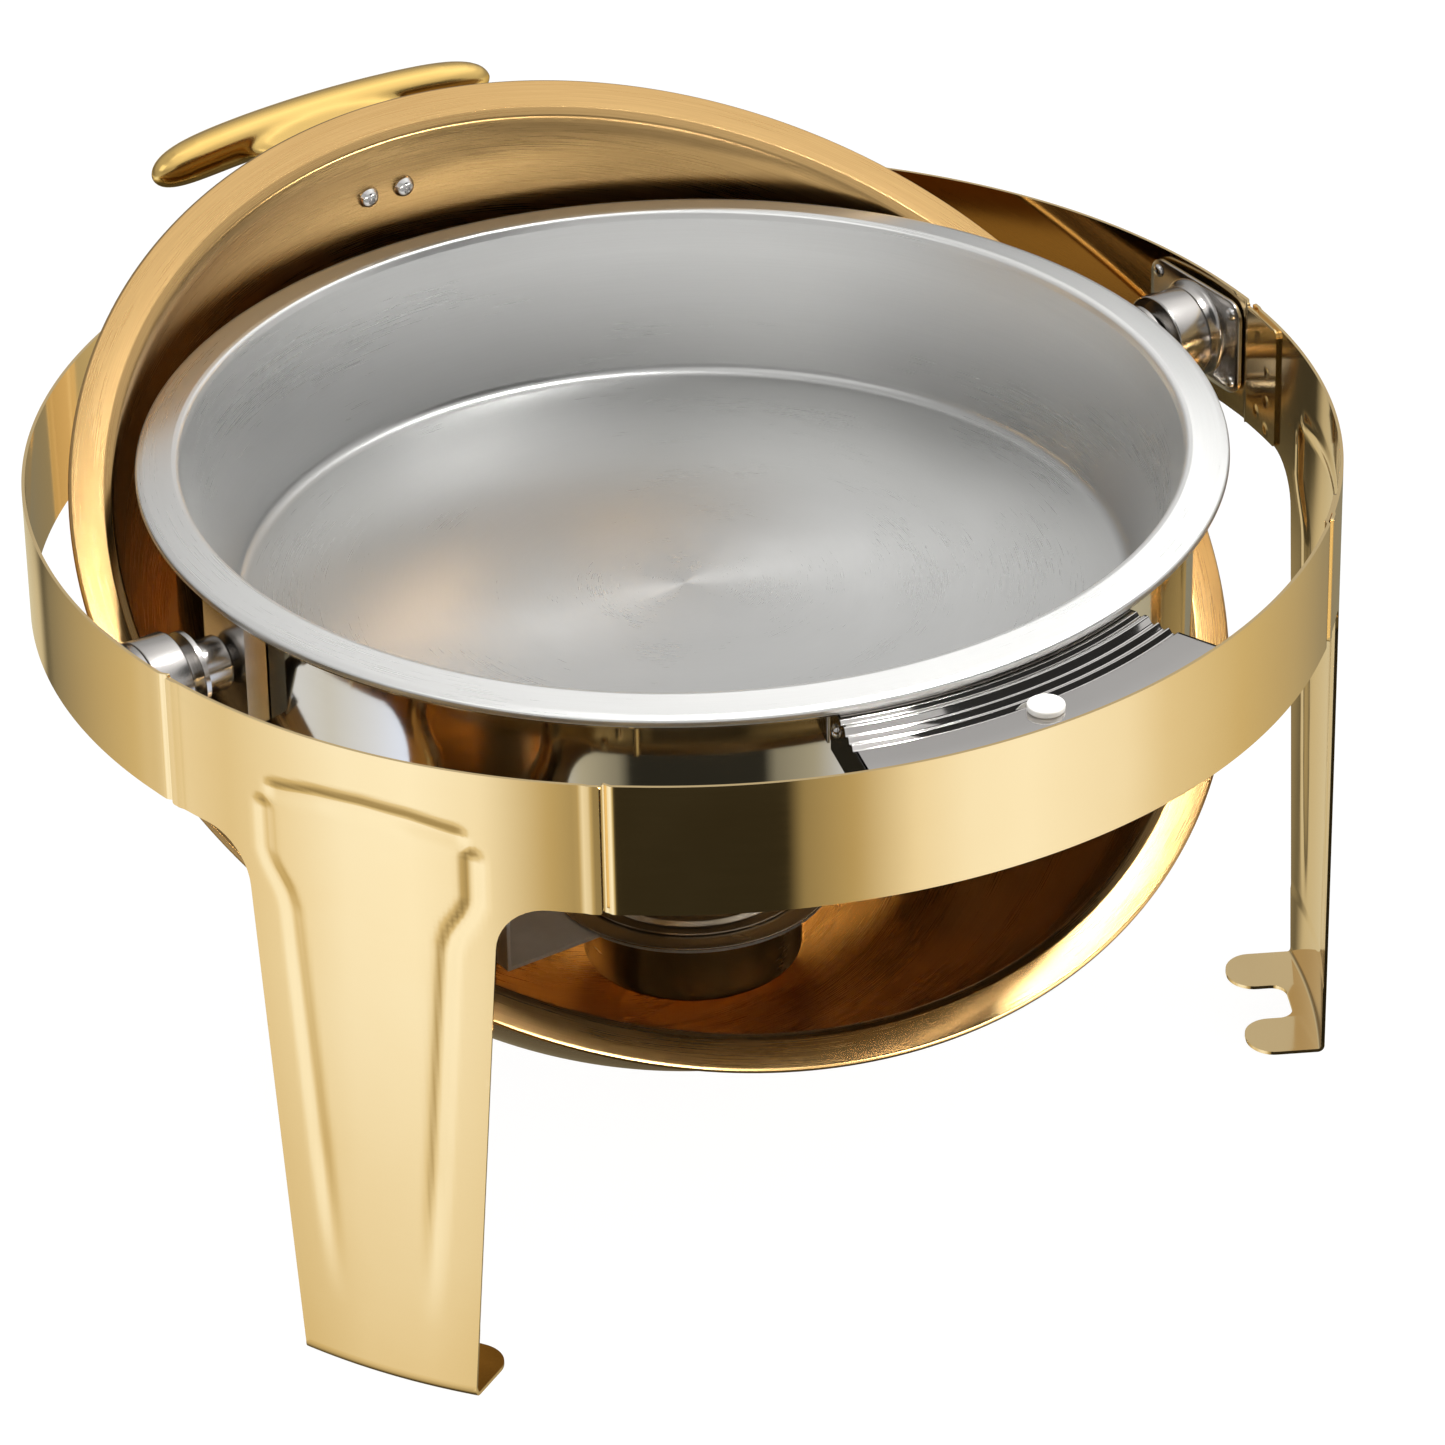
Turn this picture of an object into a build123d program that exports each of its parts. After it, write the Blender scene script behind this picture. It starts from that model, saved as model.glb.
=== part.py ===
from build123d import *
import os
from math import cos, radians, sin

os.makedirs("parts", exist_ok=True)

# Round roll-top chafing dish on three legs, millimetres.
# Origin: the dish's vertical axis, on the table. The front, with the landing ledge, faces -Y.
# The lid is stored rolled fully open, behind and below the food pan.

# Carrying band and legs
BAND_R = 240.0
SHEET = 1.2
BAND_LOW = 209.3
BAND_TOP = 260.0
FRONT_LEG_DEG = 61.4
LEG_HEADINGS = {"leg_front_left": -FRONT_LEG_DEG, "leg_front_right": FRONT_LEG_DEG, "leg_rear": 180.0}
LEG_WING_DEG = 20.6
LEG_TOP_HALF = 50.0
LEG_FOOT_HALF = 35.0
LEG_FILLET = 26.0
SEAM_GAP_DEG = 0.15
JOGGLE_DEG = 1.2
TONGUE_DEG = 5.5
TONGUE_CLEAR = 0.15
TONGUE_LOW_GAP = 0.6
TONGUE_TOP_GAP = 1.2
JOGGLE_LAP = 0.3

# Stiffening beads pressed into each leg, as points from the leg's centre line and the table
TOP_BEAD = [(-35.0, 234.5), (0.0, 238.0), (35.0, 234.5)]
SIDE_BEAD = [(41.0, 226.0), (40.5, 207.5), (31.0, 189.5), (25.5, 118.0), (18.5, 28.0)]
BEAD_WIDTH = 8.0
BEAD_DEPTH = 0.8
BEAD_LAP = 0.7

# Turned-in foot
FOOT_REACH = 31.0
FOOT_SHEET = 1.4
FOOT_CORNER = 11.3
FOOT_SLOT_R = 11.5
FOOT_SLOT_DEPTH = 21.0
FOOT_SLOT_CORNER = 8.0
FOOT_TIP_R = 11.3

# Lid hinge: one axis along X through the middle of the band
HINGE_Z = 237.0
PIN_R = 5.0
PIN_CLEAR = 0.05
PLATE_WIDE = 55.0
PLATE_HIGH = 39.0
PLATE_CORNER = 7.0
PLATE_OUT = 236.9
RIVET_EDGE = 5.0
PLATE_RIVET_R = 2.6
PLATE_RIVET_HIGH = 1.3
HEAD_CHAMFER = 0.6
PLATE_IN = 235.3
BOSS_IN = 230.4
BOSS_BASE_R = 19.0
SLEEVE_R = 17.0
SLEEVE_WALL = 1.6
SLEEVE_IN = 216.4
BARREL_R = 10.0
BARREL_OUT = 215.9
BARREL_IN = 196.6
HANGER_WEB_OUT = 195.0
HANGER_WEB = 1.5
HANGER_HALF = 14.0
HANGER_LOW = 216.0
HANGER_TOP = 257.0
DISC_COUNT = 5
DISC_THICK = 1.6
DISC_PITCH = 2.2
DISC_CLEAR = 0.3
HANGER_GAP = 0.1
NUT_HALF = 6.6
NUT_CLEAR = 0.02
PIN_END_GAP = 0.2

# Lid: a dome struck from a sphere centred on the hinge axis, with a turned rim
DOME_R = 207.0
LID_SHEET = 1.0
RIM_R = 221.5
RIM_LOW = 33.0
RIM_EDGE = 36.5
RIM_INNER_R = 211.0
RIM_CURL = 1.4
RIM_HEM = 1.0
LID_OPEN_DEG = 150.6
LID_DROP_DEG = 3.2
EAR_X = 209.5
EAR_SHEET = 1.8
EAR_HALF = 16.0
EAR_FOOT_X = 220.0
EAR_FOOT_DROP = 2.2
EAR_FOOT_SHEET = 1.6
EAR_NECK_HALF = 12.0
EAR_EYE_R = 15.0
EAR_SCREW_X = 215.8
EAR_SCREW_Y = 10.0
EAR_SHANK_R = 1.9
EAR_SHANK = 5.4
EAR_HEAD_R = 3.4
EAR_HEAD = 1.8

# Lid handle, on a line through the hinge axis, tilted up from the front
HANDLE_TILT = 16.6
GRIP_HALF = 69.0
GRIP_MID = 260.0
GRIP_TIP = 254.0
GRIP_R = 7.8
NECK_BASE = (22.0, 6.0)
NECK_TOP = (26.0, 6.5)
HANDLE_SCREW_X = 8.0
HANDLE_SHANK_R = 2.1
HANDLE_SHANK = 12.0
HANDLE_HEAD_BALL = 4.6
HANDLE_HEAD_R = 4.3

# Food pan and water pan
FOOD_RIM_R = 199.0
FOOD_RIM_TOP = 264.4
FOOD_MOUTH_R = 182.6
FOOD_FLOOR_R = 164.5
FOOD_FLOOR = 203.0
FOOD_SHEET = 0.8
FOOD_ROUND = 1.2
WATER_R = 186.5
WATER_SHEET = 1.0
WATER_BASE = 175.0
WATER_FLANGE_R = 197.6
WATER_FLANGE_TOP = 258.3
WATER_CORNER = 11.0

# Front ledge and lid bumper
LEDGE_HALF_DEG = 18.5
LEDGE_SHEET = 1.0
LEDGE_PLATE_Z = 254.8
LEDGE_SKIRT_Z = 239.0
LEDGE_BACK_R = 188.5
LEDGE_FLAT_Z = 257.2
CHANNEL = [(200.4, 257.2), (201.2, 255.8), (202.2, 255.8), (203.0, 257.0)]
FLUTES = [(205.0, 257.0, 254.4), (209.3, 256.2, 253.8), (213.6, 255.4, 253.4)]
FLUTE_FALL = 1.5
FLUTE_FLOOR = 1.0
LEDGE_PLATE_R = 217.4
LEDGE_FRONT_R = 237.0
LEDGE_END_DEG = 0.3
LEDGE_SCREW_R = 195.0
LEDGE_SCREW_Z = 250.0
LEDGE_HEAD_R = 2.6
LEDGE_HEAD = 1.6
LEDGE_SHANK_R = 1.4
LEDGE_SHANK = 4.0
BUMPER_RING_R = 222.0
BUMPER_R = 6.7
BUMPER_ROUND = 0.8
BUMPER_CLEAR = 0.3

# Burner under the water pan
STRAP_HALF = 92.0
STRAP_WIDE = 30.0
STRAP_SHEET = 1.5
STRAP_Z = 75.4
STRAP_TAB = 20.0
BURNER_R = 41.5
BURNER_WALL = 0.8
BURNER_BASE = 45.0
BURNER_FLANGE_R = 55.0
BURNER_FLANGE_Z = 77.2
CUP_CLEAR = 0.9
COVER_R = 46.0
COVER_MOUTH_R = 20.0
COVER_SHEET = 0.8
COVER_STEP = 2.0
COVER_STEPS = (41.0, 34.0, 27.0)
COVER_RISER = 1.2
COVER_CLEAR = 0.3
COVER_PIVOT_X = 50.5
COVER_EAR_R = 4.2
CUP_CORNER = 3.0
RIVET_R = 2.0
RIVET_FIT = 0.02
RIVET_HEAD_R = 3.4
RIVET_HEAD = 1.4
RIVET_GAP = 0.2
KNOB_X = -23.0
KNOB_NECK = (2.2, 4.0)
KNOB_HEAD = (4.2, 5.0)
KNOB_LAP = 0.6
KNOB_ROUND = 1.6

# How far a cutting shape runs past the face that it cuts
CUT = 1.0

CORNER = (Align.CENTER, Align.CENTER, Align.MIN)


def facing(shape, heading):
    """Turns a shape built along +X to a heading counted from the front towards +X."""
    return Rot(0, 0, heading - 90) * shape


def revolved(points, arc=360):
    """Turns a closed radius-height outline about the dish's axis."""
    outline = make_face(Polyline(*points, close=True))
    return revolve(Plane.XZ * outline, Axis.Z, arc)


def sector(r_in, r_out, low, top, start, end):
    """An upright piece of ring between two angles counted from +X."""
    ring = revolved([(r_in, low), (r_out, low), (r_out, top), (r_in, top)], end - start)
    return Rot(0, 0, start) * ring


def x_disc(radius, x_low, x_high):
    """A cylinder on the hinge axis between two X positions."""
    disc = Cylinder(radius, x_high - x_low, align=CORNER)
    return Pos(x_low, 0, HINGE_Z) * Rot(0, 90, 0) * disc


def on_hinge(x):
    """The plane square to the hinge axis at one X position, centred on that axis."""
    return Plane(origin=(x, 0, HINGE_Z), x_dir=(0, 1, 0), z_dir=(1, 0, 0))


def x_ring(r_out, r_in, x_low, x_high):
    return x_disc(r_out, x_low, x_high) - x_disc(r_in, x_low - CUT, x_high + CUT)


def mirrored(shape):
    return mirror(shape, about=Plane.YZ)


def rounded(face, corner, radius):
    """Rounds the corner of a flat face that lies nearest to a given point."""
    nearest = face.vertices().sort_by_distance((corner[0], corner[1], 0))[0]
    return fillet(nearest, radius)


def leg_outline():
    points = [
        (-LEG_FOOT_HALF, 0),
        (-LEG_TOP_HALF, BAND_LOW),
        (-wing_half(), BAND_LOW),
        (-wing_half(), BAND_TOP),
        (wing_half(), BAND_TOP),
        (wing_half(), BAND_LOW),
        (LEG_TOP_HALF, BAND_LOW),
        (LEG_FOOT_HALF, 0),
    ]
    face = make_face(Polyline(*points, close=True))
    for side in (-1, 1):
        face = rounded(face, (side * LEG_TOP_HALF, BAND_LOW), LEG_FILLET)
    return face


def wing_half():
    return BAND_R * sin(radians(LEG_WING_DEG))


def bead(points, width):
    """A flat strip of one width along a run of points, with round ends and corners."""
    strip = Sketch()
    for start, end in zip(points, points[1:]):
        run = Vector(*end) - Vector(*start)
        middle = Vector(*start) + run * 0.5
        turn = Vector(1, 0).get_signed_angle(run)
        strip += Pos(middle.X, middle.Y) * Rot(0, 0, turn) * Rectangle(run.length, width)
        strip += Pos(*start) * Circle(width / 2)
        strip += Pos(*end) * Circle(width / 2)
    return strip


def beads(width):
    mirrored_side = [(-y, z) for y, z in SIDE_BEAD]
    return [bead(points, width) for points in (TOP_BEAD, SIDE_BEAD, mirrored_side)]


def through_wall(face):
    """Carries a flat outline, seen from outside, right through the leg's wall."""
    return extrude(Plane.YZ.offset(BAND_R / 2) * face, BAND_R)


def tube(r_in, r_out, low, top):
    return revolved([(r_in, low), (r_out, low), (r_out, top), (r_in, top)])


def foot():
    depth = FOOT_REACH
    plate = Pos(BAND_R - depth / 2, 0) * Rectangle(depth, 2 * LEG_FOOT_HALF)
    for side in (-1, 1):
        plate = rounded(plate, (BAND_R - depth, side * LEG_FOOT_HALF), FOOT_CORNER)
    slot_mid = BAND_R - depth + FOOT_SLOT_DEPTH - depth
    plate -= Pos(slot_mid, 0) * RectangleRounded(2 * depth, 2 * FOOT_SLOT_R, FOOT_SLOT_CORNER)
    for side in (-1, 1):
        plate = rounded(plate, (BAND_R - depth, side * FOOT_SLOT_R), FOOT_TIP_R)
    return extrude(plate, FOOT_SHEET) & Cylinder(BAND_R - SHEET / 2, 4 * FOOT_SHEET)


def leg():
    wall = through_wall(leg_outline()) & tube(BAND_R - SHEET, BAND_R, 0, BAND_TOP)
    inner = BAND_R - SHEET - BEAD_DEPTH
    pressed_layer = tube(inner, inner + SHEET, 0, BAND_TOP)
    for strip in beads(BEAD_WIDTH):
        wall -= through_wall(strip)
    for strip in beads(BEAD_WIDTH + 2 * BEAD_LAP):
        wall += through_wall(strip) & pressed_layer
    return wall + foot()


def band_segment(start_deg, end_deg):
    """A band between two legs, its ends stepped in behind the legs' wings."""
    half = (end_deg - start_deg) / 2
    end = half - SEAM_GAP_DEG
    inner = BAND_R - SHEET
    tongue_out = inner - TONGUE_CLEAR
    tongue_in = tongue_out - SHEET
    band = sector(inner, BAND_R, BAND_LOW, BAND_TOP, -end, end)
    for start, stop in ((end - JOGGLE_DEG, end), (-end, -end + JOGGLE_DEG)):
        band += sector(tongue_in, BAND_R - JOGGLE_LAP, BAND_LOW, BAND_TOP, start, stop)
    low = BAND_LOW + TONGUE_LOW_GAP
    top = BAND_TOP - TONGUE_TOP_GAP
    for start, stop in ((end - JOGGLE_DEG, half + TONGUE_DEG), (-half - TONGUE_DEG, JOGGLE_DEG - end)):
        band += sector(tongue_in, tongue_out, low, top, start, stop)
    return facing(band, (start_deg + end_deg) / 2)


def hinge_plate():
    plate = RectangleRounded(PLATE_WIDE, PLATE_HIGH, PLATE_CORNER)
    plate = extrude(on_hinge(PLATE_IN) * plate, PLATE_OUT - PLATE_IN)
    boss = Cone(BOSS_BASE_R, SLEEVE_R, PLATE_IN - BOSS_IN, align=CORNER)
    boss = Pos(PLATE_IN, 0, HINGE_Z) * Rot(0, -90, 0) * boss
    pin_hole = x_disc(PIN_R + PIN_CLEAR, BOSS_IN - CUT, PLATE_OUT + CUT)
    return plate + boss - pin_hole


def plate_rivets():
    heads = []
    for y in (RIVET_EDGE - PLATE_WIDE / 2, PLATE_WIDE / 2 - RIVET_EDGE):
        for z in (RIVET_EDGE - PLATE_HIGH / 2, PLATE_HIGH / 2 - RIVET_EDGE):
            head = Cylinder(PLATE_RIVET_R, PLATE_RIVET_HIGH, align=CORNER)
            head = chamfer(head.faces().sort_by(Axis.Z)[-1].edges(), HEAD_CHAMFER)
            heads.append(Pos(PLATE_IN, y, HINGE_Z + z) * Rot(0, -90, 0) * head)
    return heads


def hinge_sleeve():
    outer = x_disc(SLEEVE_R, SLEEVE_IN, BOSS_IN)
    hollow = x_disc(SLEEVE_R - SLEEVE_WALL, SLEEVE_IN + SLEEVE_WALL, BOSS_IN + CUT)
    return outer - hollow - x_disc(PIN_R + PIN_CLEAR, SLEEVE_IN - CUT, BOSS_IN)


def friction_discs():
    first = SLEEVE_IN + SLEEVE_WALL + DISC_CLEAR
    radius = SLEEVE_R - SLEEVE_WALL - DISC_CLEAR
    discs = []
    for n in range(DISC_COUNT):
        low = first + n * DISC_PITCH
        discs.append(x_ring(radius, PIN_R + PIN_CLEAR, low, low + DISC_THICK))
    return discs


def hinge_pin():
    return x_disc(PIN_R, nut_low() - DISC_CLEAR, PLATE_OUT - PIN_END_GAP)


def nut_low():
    return WATER_R + 1.4


def hinge_nut():
    flat = RegularPolygon(NUT_HALF, 6, major_radius=False) - Circle(PIN_R + NUT_CLEAR)
    high = HANGER_WEB_OUT - HANGER_WEB - HANGER_GAP
    return extrude(on_hinge(nut_low()) * flat, high - nut_low())


def hanger():
    """A small channel on the water pan's wall that carries the inner end of the hinge pin."""
    height = HANGER_TOP - HANGER_LOW
    mid = HANGER_LOW + height / 2
    web = Pos(HANGER_WEB_OUT - HANGER_WEB / 2, 0, mid) * Box(HANGER_WEB, 2 * HANGER_HALF, height)
    reach = HANGER_WEB_OUT - WATER_R
    for side in (-1, 1):
        y = side * (HANGER_HALF - HANGER_WEB / 2)
        web += Pos(HANGER_WEB_OUT - reach / 2, y, mid) * Box(reach, HANGER_WEB, height)
    web -= Cylinder(WATER_R + HANGER_GAP, 2 * BAND_TOP)
    return web - x_disc(PIN_R + PIN_CLEAR, WATER_R, PLATE_OUT)


def lid_at_rest(shape):
    """Rolls a lid piece from its level position, about the hinge, to fully open."""
    return Pos(0, 0, HINGE_Z) * Rot(-LID_OPEN_DEG, 0, 0) * shape


def lid_shell():
    outer_r = DOME_R + LID_SHEET
    mid = (RIM_INNER_R + RIM_R) / 2
    curl_low = RIM_EDGE - 1.6
    curl_top = RIM_EDGE + RIM_CURL
    hem_r = RIM_R - RIM_HEM
    root = (RIM_INNER_R - 2.5, RIM_LOW + 0.6)
    root_over = (RIM_INNER_R - 2.0, RIM_LOW + 1.9)
    inner_start = sphere_point(DOME_R, RIM_LOW + 4.0)
    outer_start = sphere_point(outer_r, RIM_LOW + 5.2)
    inner_arc = ThreePointArc((0, DOME_R), polar(DOME_R, 50), inner_start)
    outer_arc = ThreePointArc(outer_start, polar(outer_r, 50), (0, outer_r))
    outline = Wire([
        inner_arc,
        Line(inner_start, root),
        ThreePointArc(root, (mid, RIM_LOW), (RIM_R, curl_low)),
        Line((RIM_R, curl_low), (RIM_R, curl_top)),
        Line((RIM_R, curl_top), (hem_r, curl_top)),
        Line((hem_r, curl_top), (hem_r, curl_low + RIM_HEM)),
        ThreePointArc((hem_r, curl_low + RIM_HEM), (mid, RIM_LOW + 1.1), root_over),
        Line(root_over, outer_start),
        outer_arc,
        Line((0, outer_r), (0, DOME_R)),
    ])
    return lid_at_rest(revolve(Plane.XZ * Face(outline), Axis.Z))


def sphere_point(radius, height):
    return ((radius**2 - height**2) ** 0.5, height)


def polar(radius, degrees_up):
    return (radius * cos(radians(degrees_up)), radius * sin(radians(degrees_up)))


def lid_ear():
    """The lug that joins the lid's rim to its hinge barrel."""
    foot_low = RIM_LOW - EAR_FOOT_DROP
    foot_top = foot_low + EAR_FOOT_SHEET
    points = [(-EAR_HALF, foot_top), (EAR_HALF, foot_top), (EAR_NECK_HALF, 0), (-EAR_NECK_HALF, 0)]
    plate = make_face(Polyline(*points, close=True)) + Circle(EAR_EYE_R)
    plate = extrude(Plane.YZ.offset(EAR_X) * plate, EAR_SHEET)
    foot_mid = (EAR_X + EAR_FOOT_X) / 2
    foot_plate = Box(EAR_FOOT_X - EAR_X, 2 * EAR_HALF, EAR_FOOT_SHEET)
    plate += Pos(foot_mid, 0, foot_low + EAR_FOOT_SHEET / 2) * foot_plate
    hole = Cylinder(BARREL_R + NUT_CLEAR, EAR_SHEET + 2 * CUT, align=CORNER)
    hole = Pos(EAR_X - CUT, 0, 0) * Rot(0, 90, 0) * hole
    return lid_at_rest(plate - hole)


def ear_screws():
    screws = []
    for y in (-EAR_SCREW_Y, EAR_SCREW_Y):
        shank = Cylinder(EAR_SHANK_R, EAR_SHANK, align=CORNER)
        screw = shank + Pos(0, 0, -EAR_HEAD) * Cylinder(EAR_HEAD_R, EAR_HEAD, align=CORNER)
        screws.append(lid_at_rest(Pos(EAR_SCREW_X, y, RIM_LOW - EAR_FOOT_DROP) * screw))
    return screws


def lid_barrel():
    return x_ring(BARREL_R, PIN_R + PIN_CLEAR, BARREL_IN, BARREL_OUT)


def handle_plane():
    tilt = radians(HANDLE_TILT)
    return Plane(origin=(0, 0, 0), x_dir=(1, 0, 0), z_dir=(0, -cos(tilt), sin(tilt)))


def lid_handle():
    spine = ThreePointArc((-GRIP_HALF, 0, GRIP_TIP), (0, 0, GRIP_MID), (GRIP_HALF, 0, GRIP_TIP))
    grip = sweep(Plane(origin=spine @ 0, z_dir=spine % 0) * Circle(GRIP_R), spine)
    for end in (spine @ 0, spine @ 1):
        grip += Pos(end.X, end.Y, end.Z) * Sphere(GRIP_R)
    base = Pos(0, 0, DOME_R - CUT) * Ellipse(*NECK_BASE)
    top = Pos(0, 0, GRIP_MID - GRIP_R / 2) * Ellipse(*NECK_TOP)
    neck = loft([base, top])
    seat = Sphere(DOME_R + LID_SHEET + PIN_CLEAR)
    holes = handle_screw_bodies(0.0)
    body = grip + neck - seat
    for hole in holes:
        body -= hole
    return lid_at_rest(handle_plane() * body)


def handle_screw_bodies(shrink):
    return [
        Pos(x, 0, DOME_R - 2) * Cylinder(HANDLE_SHANK_R - shrink, LID_SHEET + HANDLE_SHANK, align=CORNER)
        for x in (-HANDLE_SCREW_X, HANDLE_SCREW_X)
    ]


def handle_screws():
    screws = []
    for x, shank in zip((-HANDLE_SCREW_X, HANDLE_SCREW_X), handle_screw_bodies(0.1)):
        inner_half = Pos(0, 0, -HANDLE_HEAD_BALL) * Cylinder(HANDLE_HEAD_R, HANDLE_HEAD_BALL, align=CORNER)
        head = Pos(x, 0, DOME_R - 0.35) * (Sphere(HANDLE_HEAD_BALL) & inner_half)
        screws.append(lid_at_rest(handle_plane() * (shank + head)))
    return screws


def food_pan():
    """A tapered pan whose wide rim falls outward and ends in a turned-down lip."""
    crest = FOOD_RIM_TOP
    edge = FOOD_RIM_R
    return revolved([
        (0, FOOD_FLOOR - FOOD_SHEET),
        (FOOD_FLOOR_R + 1.4, FOOD_FLOOR - FOOD_SHEET),
        (FOOD_FLOOR_R + 2.4, FOOD_FLOOR + 0.4),
        (FOOD_MOUTH_R + 1.0, crest - 2.8),
        (FOOD_MOUTH_R + 2.6, crest - 1.2),
        (edge - 2.6, crest - 3.6),
        (edge - 1.6, crest - 5.8),
        (edge - 0.4, crest - 5.8),
        (edge, crest - 3.2),
        (edge - 1.2, crest - 2.2),
        (FOOD_MOUTH_R + 2.2, crest),
        (FOOD_MOUTH_R, crest - 2.0),
        (FOOD_FLOOR_R + FOOD_ROUND, FOOD_FLOOR + FOOD_ROUND),
        (FOOD_FLOOR_R, FOOD_FLOOR),
        (0, FOOD_FLOOR),
    ])


def water_pan():
    inner = WATER_R - WATER_SHEET
    base = WATER_BASE
    top = WATER_FLANGE_TOP
    points = [
        (0, base),
        (WATER_R, base),
        (WATER_R, top - WATER_SHEET),
        (WATER_FLANGE_R, top - WATER_SHEET),
        (WATER_FLANGE_R, top),
        (inner, top),
        (inner, base + WATER_SHEET),
        (0, base + WATER_SHEET),
    ]
    face = make_face(Polyline(*points, close=True))
    face = rounded(face, (WATER_R, base), WATER_CORNER)
    face = rounded(face, (inner, base + WATER_SHEET), WATER_CORNER - WATER_SHEET)
    return revolve(Plane.XZ * face, Axis.Z)


def ledge_profile():
    """The ledge's upper face by radius: a narrow channel, three flutes and the landing plate."""
    profile = [(LEDGE_BACK_R, LEDGE_FLAT_Z)] + CHANNEL
    for start, crest, root in FLUTES:
        fall = start + FLUTE_FALL
        profile += [(start, crest), (fall, root), (fall + FLUTE_FLOOR, root)]
    return profile + [(LEDGE_PLATE_R, LEDGE_PLATE_Z), (LEDGE_FRONT_R, LEDGE_PLATE_Z)]


def front_ledge():
    """The fluted landing plate, with a skirt at the front and a wall turned down at each end."""
    upper = ledge_profile()
    skirt_r = LEDGE_FRONT_R + LEDGE_SHEET
    skirt = [(skirt_r, LEDGE_PLATE_Z), (skirt_r, LEDGE_SKIRT_Z)]
    lower = [(r, z - LEDGE_SHEET) for r, z in reversed(upper)]
    plate = revolved(upper + skirt + [(LEDGE_FRONT_R, LEDGE_SKIRT_Z)] + lower, 2 * LEDGE_HALF_DEG)
    wall_outline = upper + skirt + [(LEDGE_BACK_R, LEDGE_SKIRT_Z)]
    wall = revolved(wall_outline, LEDGE_END_DEG)
    far_wall = Rot(0, 0, 2 * LEDGE_HALF_DEG - LEDGE_END_DEG) * wall
    return facing(Rot(0, 0, -LEDGE_HALF_DEG) * (plate + wall + far_wall), 0)


def ledge_screws():
    """One screw through each end wall of the ledge, its head outside."""
    screws = []
    for side in (-1, 1):
        head = Cylinder(LEDGE_HEAD_R, LEDGE_HEAD, align=CORNER)
        head = chamfer(head.faces().sort_by(Axis.Z)[-1].edges(), HEAD_CHAMFER)
        shank = Pos(0, 0, -LEDGE_SHANK) * Cylinder(LEDGE_SHANK_R, LEDGE_SHANK, align=CORNER)
        screw = Pos(LEDGE_SCREW_R, 0, LEDGE_SCREW_Z) * Rot(-side * 90, 0, 0) * (head + shank)
        screws.append(facing(screw, side * LEDGE_HALF_DEG))
    return screws


def bumper_top():
    """The pad's height: just under the rim of the lid when it is rolled shut."""
    drop = radians(LID_DROP_DEG)
    rim_mid = (RIM_INNER_R + RIM_R) / 2
    return HINGE_Z + RIM_LOW * cos(drop) - rim_mid * sin(drop) - BUMPER_CLEAR


def lid_bumper():
    pad = Cylinder(BUMPER_R, bumper_top() - LEDGE_PLATE_Z, align=CORNER)
    pad = fillet(pad.faces().sort_by(Axis.Z)[-1].edges(), BUMPER_ROUND)
    return Pos(0, -BUMPER_RING_R, LEDGE_PLATE_Z) * pad


def burner_bracket():
    """A strap with a ring for the cup, turned up at both ends and fixed under the water pan."""
    strap = Rectangle(2 * STRAP_HALF, STRAP_WIDE) + Circle(BURNER_FLANGE_R - 1.5)
    strap -= Circle(BURNER_R + CUP_CLEAR)
    bracket = extrude(Pos(0, 0, STRAP_Z) * strap, STRAP_SHEET)
    rise = WATER_BASE - STRAP_Z
    for side in (-1, 1):
        x = side * (STRAP_HALF - STRAP_SHEET / 2)
        bracket += Pos(x, 0, STRAP_Z + rise / 2) * Box(STRAP_SHEET, STRAP_WIDE, rise)
        tab_x = side * (STRAP_HALF + STRAP_TAB / 2 - STRAP_SHEET / 2)
        tab = Box(STRAP_TAB + STRAP_SHEET, STRAP_WIDE, STRAP_SHEET)
        bracket += Pos(tab_x, 0, WATER_BASE - STRAP_SHEET / 2) * tab
    return bracket


def burner_cup():
    wall = BURNER_WALL
    flange = BURNER_FLANGE_Z
    cup = revolved([
        (0, BURNER_BASE),
        (BURNER_R - CUP_CORNER, BURNER_BASE),
        (BURNER_R, BURNER_BASE + CUP_CORNER),
        (BURNER_R, flange),
        (BURNER_FLANGE_R, flange),
        (BURNER_FLANGE_R, flange + wall),
        (BURNER_R - wall, flange + wall),
        (BURNER_R - wall, BURNER_BASE + CUP_CORNER + wall / 2),
        (BURNER_R - CUP_CORNER - wall / 2, BURNER_BASE + wall),
        (0, BURNER_BASE + wall),
    ])
    hole = Cylinder(RIVET_R - RIVET_FIT, wall + 2 * CUT, align=CORNER)
    return cup - Pos(COVER_PIVOT_X, 0, flange - CUT) * hole


def cover_low():
    return BURNER_FLANGE_Z + BURNER_WALL + COVER_CLEAR


def burner_cover():
    """A stepped ring over the burner's mouth that swings aside on its edge rivet."""
    low = cover_low()
    sheet = COVER_SHEET
    upper = [(COVER_R, low + sheet)]
    for step, radius in enumerate(COVER_STEPS):
        z = low + sheet + step * COVER_STEP
        upper += [(radius, z), (radius - COVER_RISER, z + COVER_STEP)]
    upper.append((COVER_MOUTH_R, cover_top()))
    lower = [(r if r in (COVER_R, COVER_MOUTH_R) else r - sheet, z - sheet) for r, z in reversed(upper)]
    ring = revolved(upper + lower)
    lug = Pos(COVER_PIVOT_X - COVER_EAR_R, 0) * Rectangle(2 * COVER_EAR_R, 2 * COVER_EAR_R)
    ear = Pos(COVER_PIVOT_X, 0) * Circle(COVER_EAR_R) + lug
    ear = extrude(Pos(0, 0, low) * ear, sheet) - Cylinder(COVER_R - 2.5, 4 * BAND_TOP)
    hole = Cylinder(RIVET_R + PIN_CLEAR, sheet + 2 * CUT, align=CORNER)
    return ring + ear - Pos(COVER_PIVOT_X, 0, low - CUT) * hole


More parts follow.
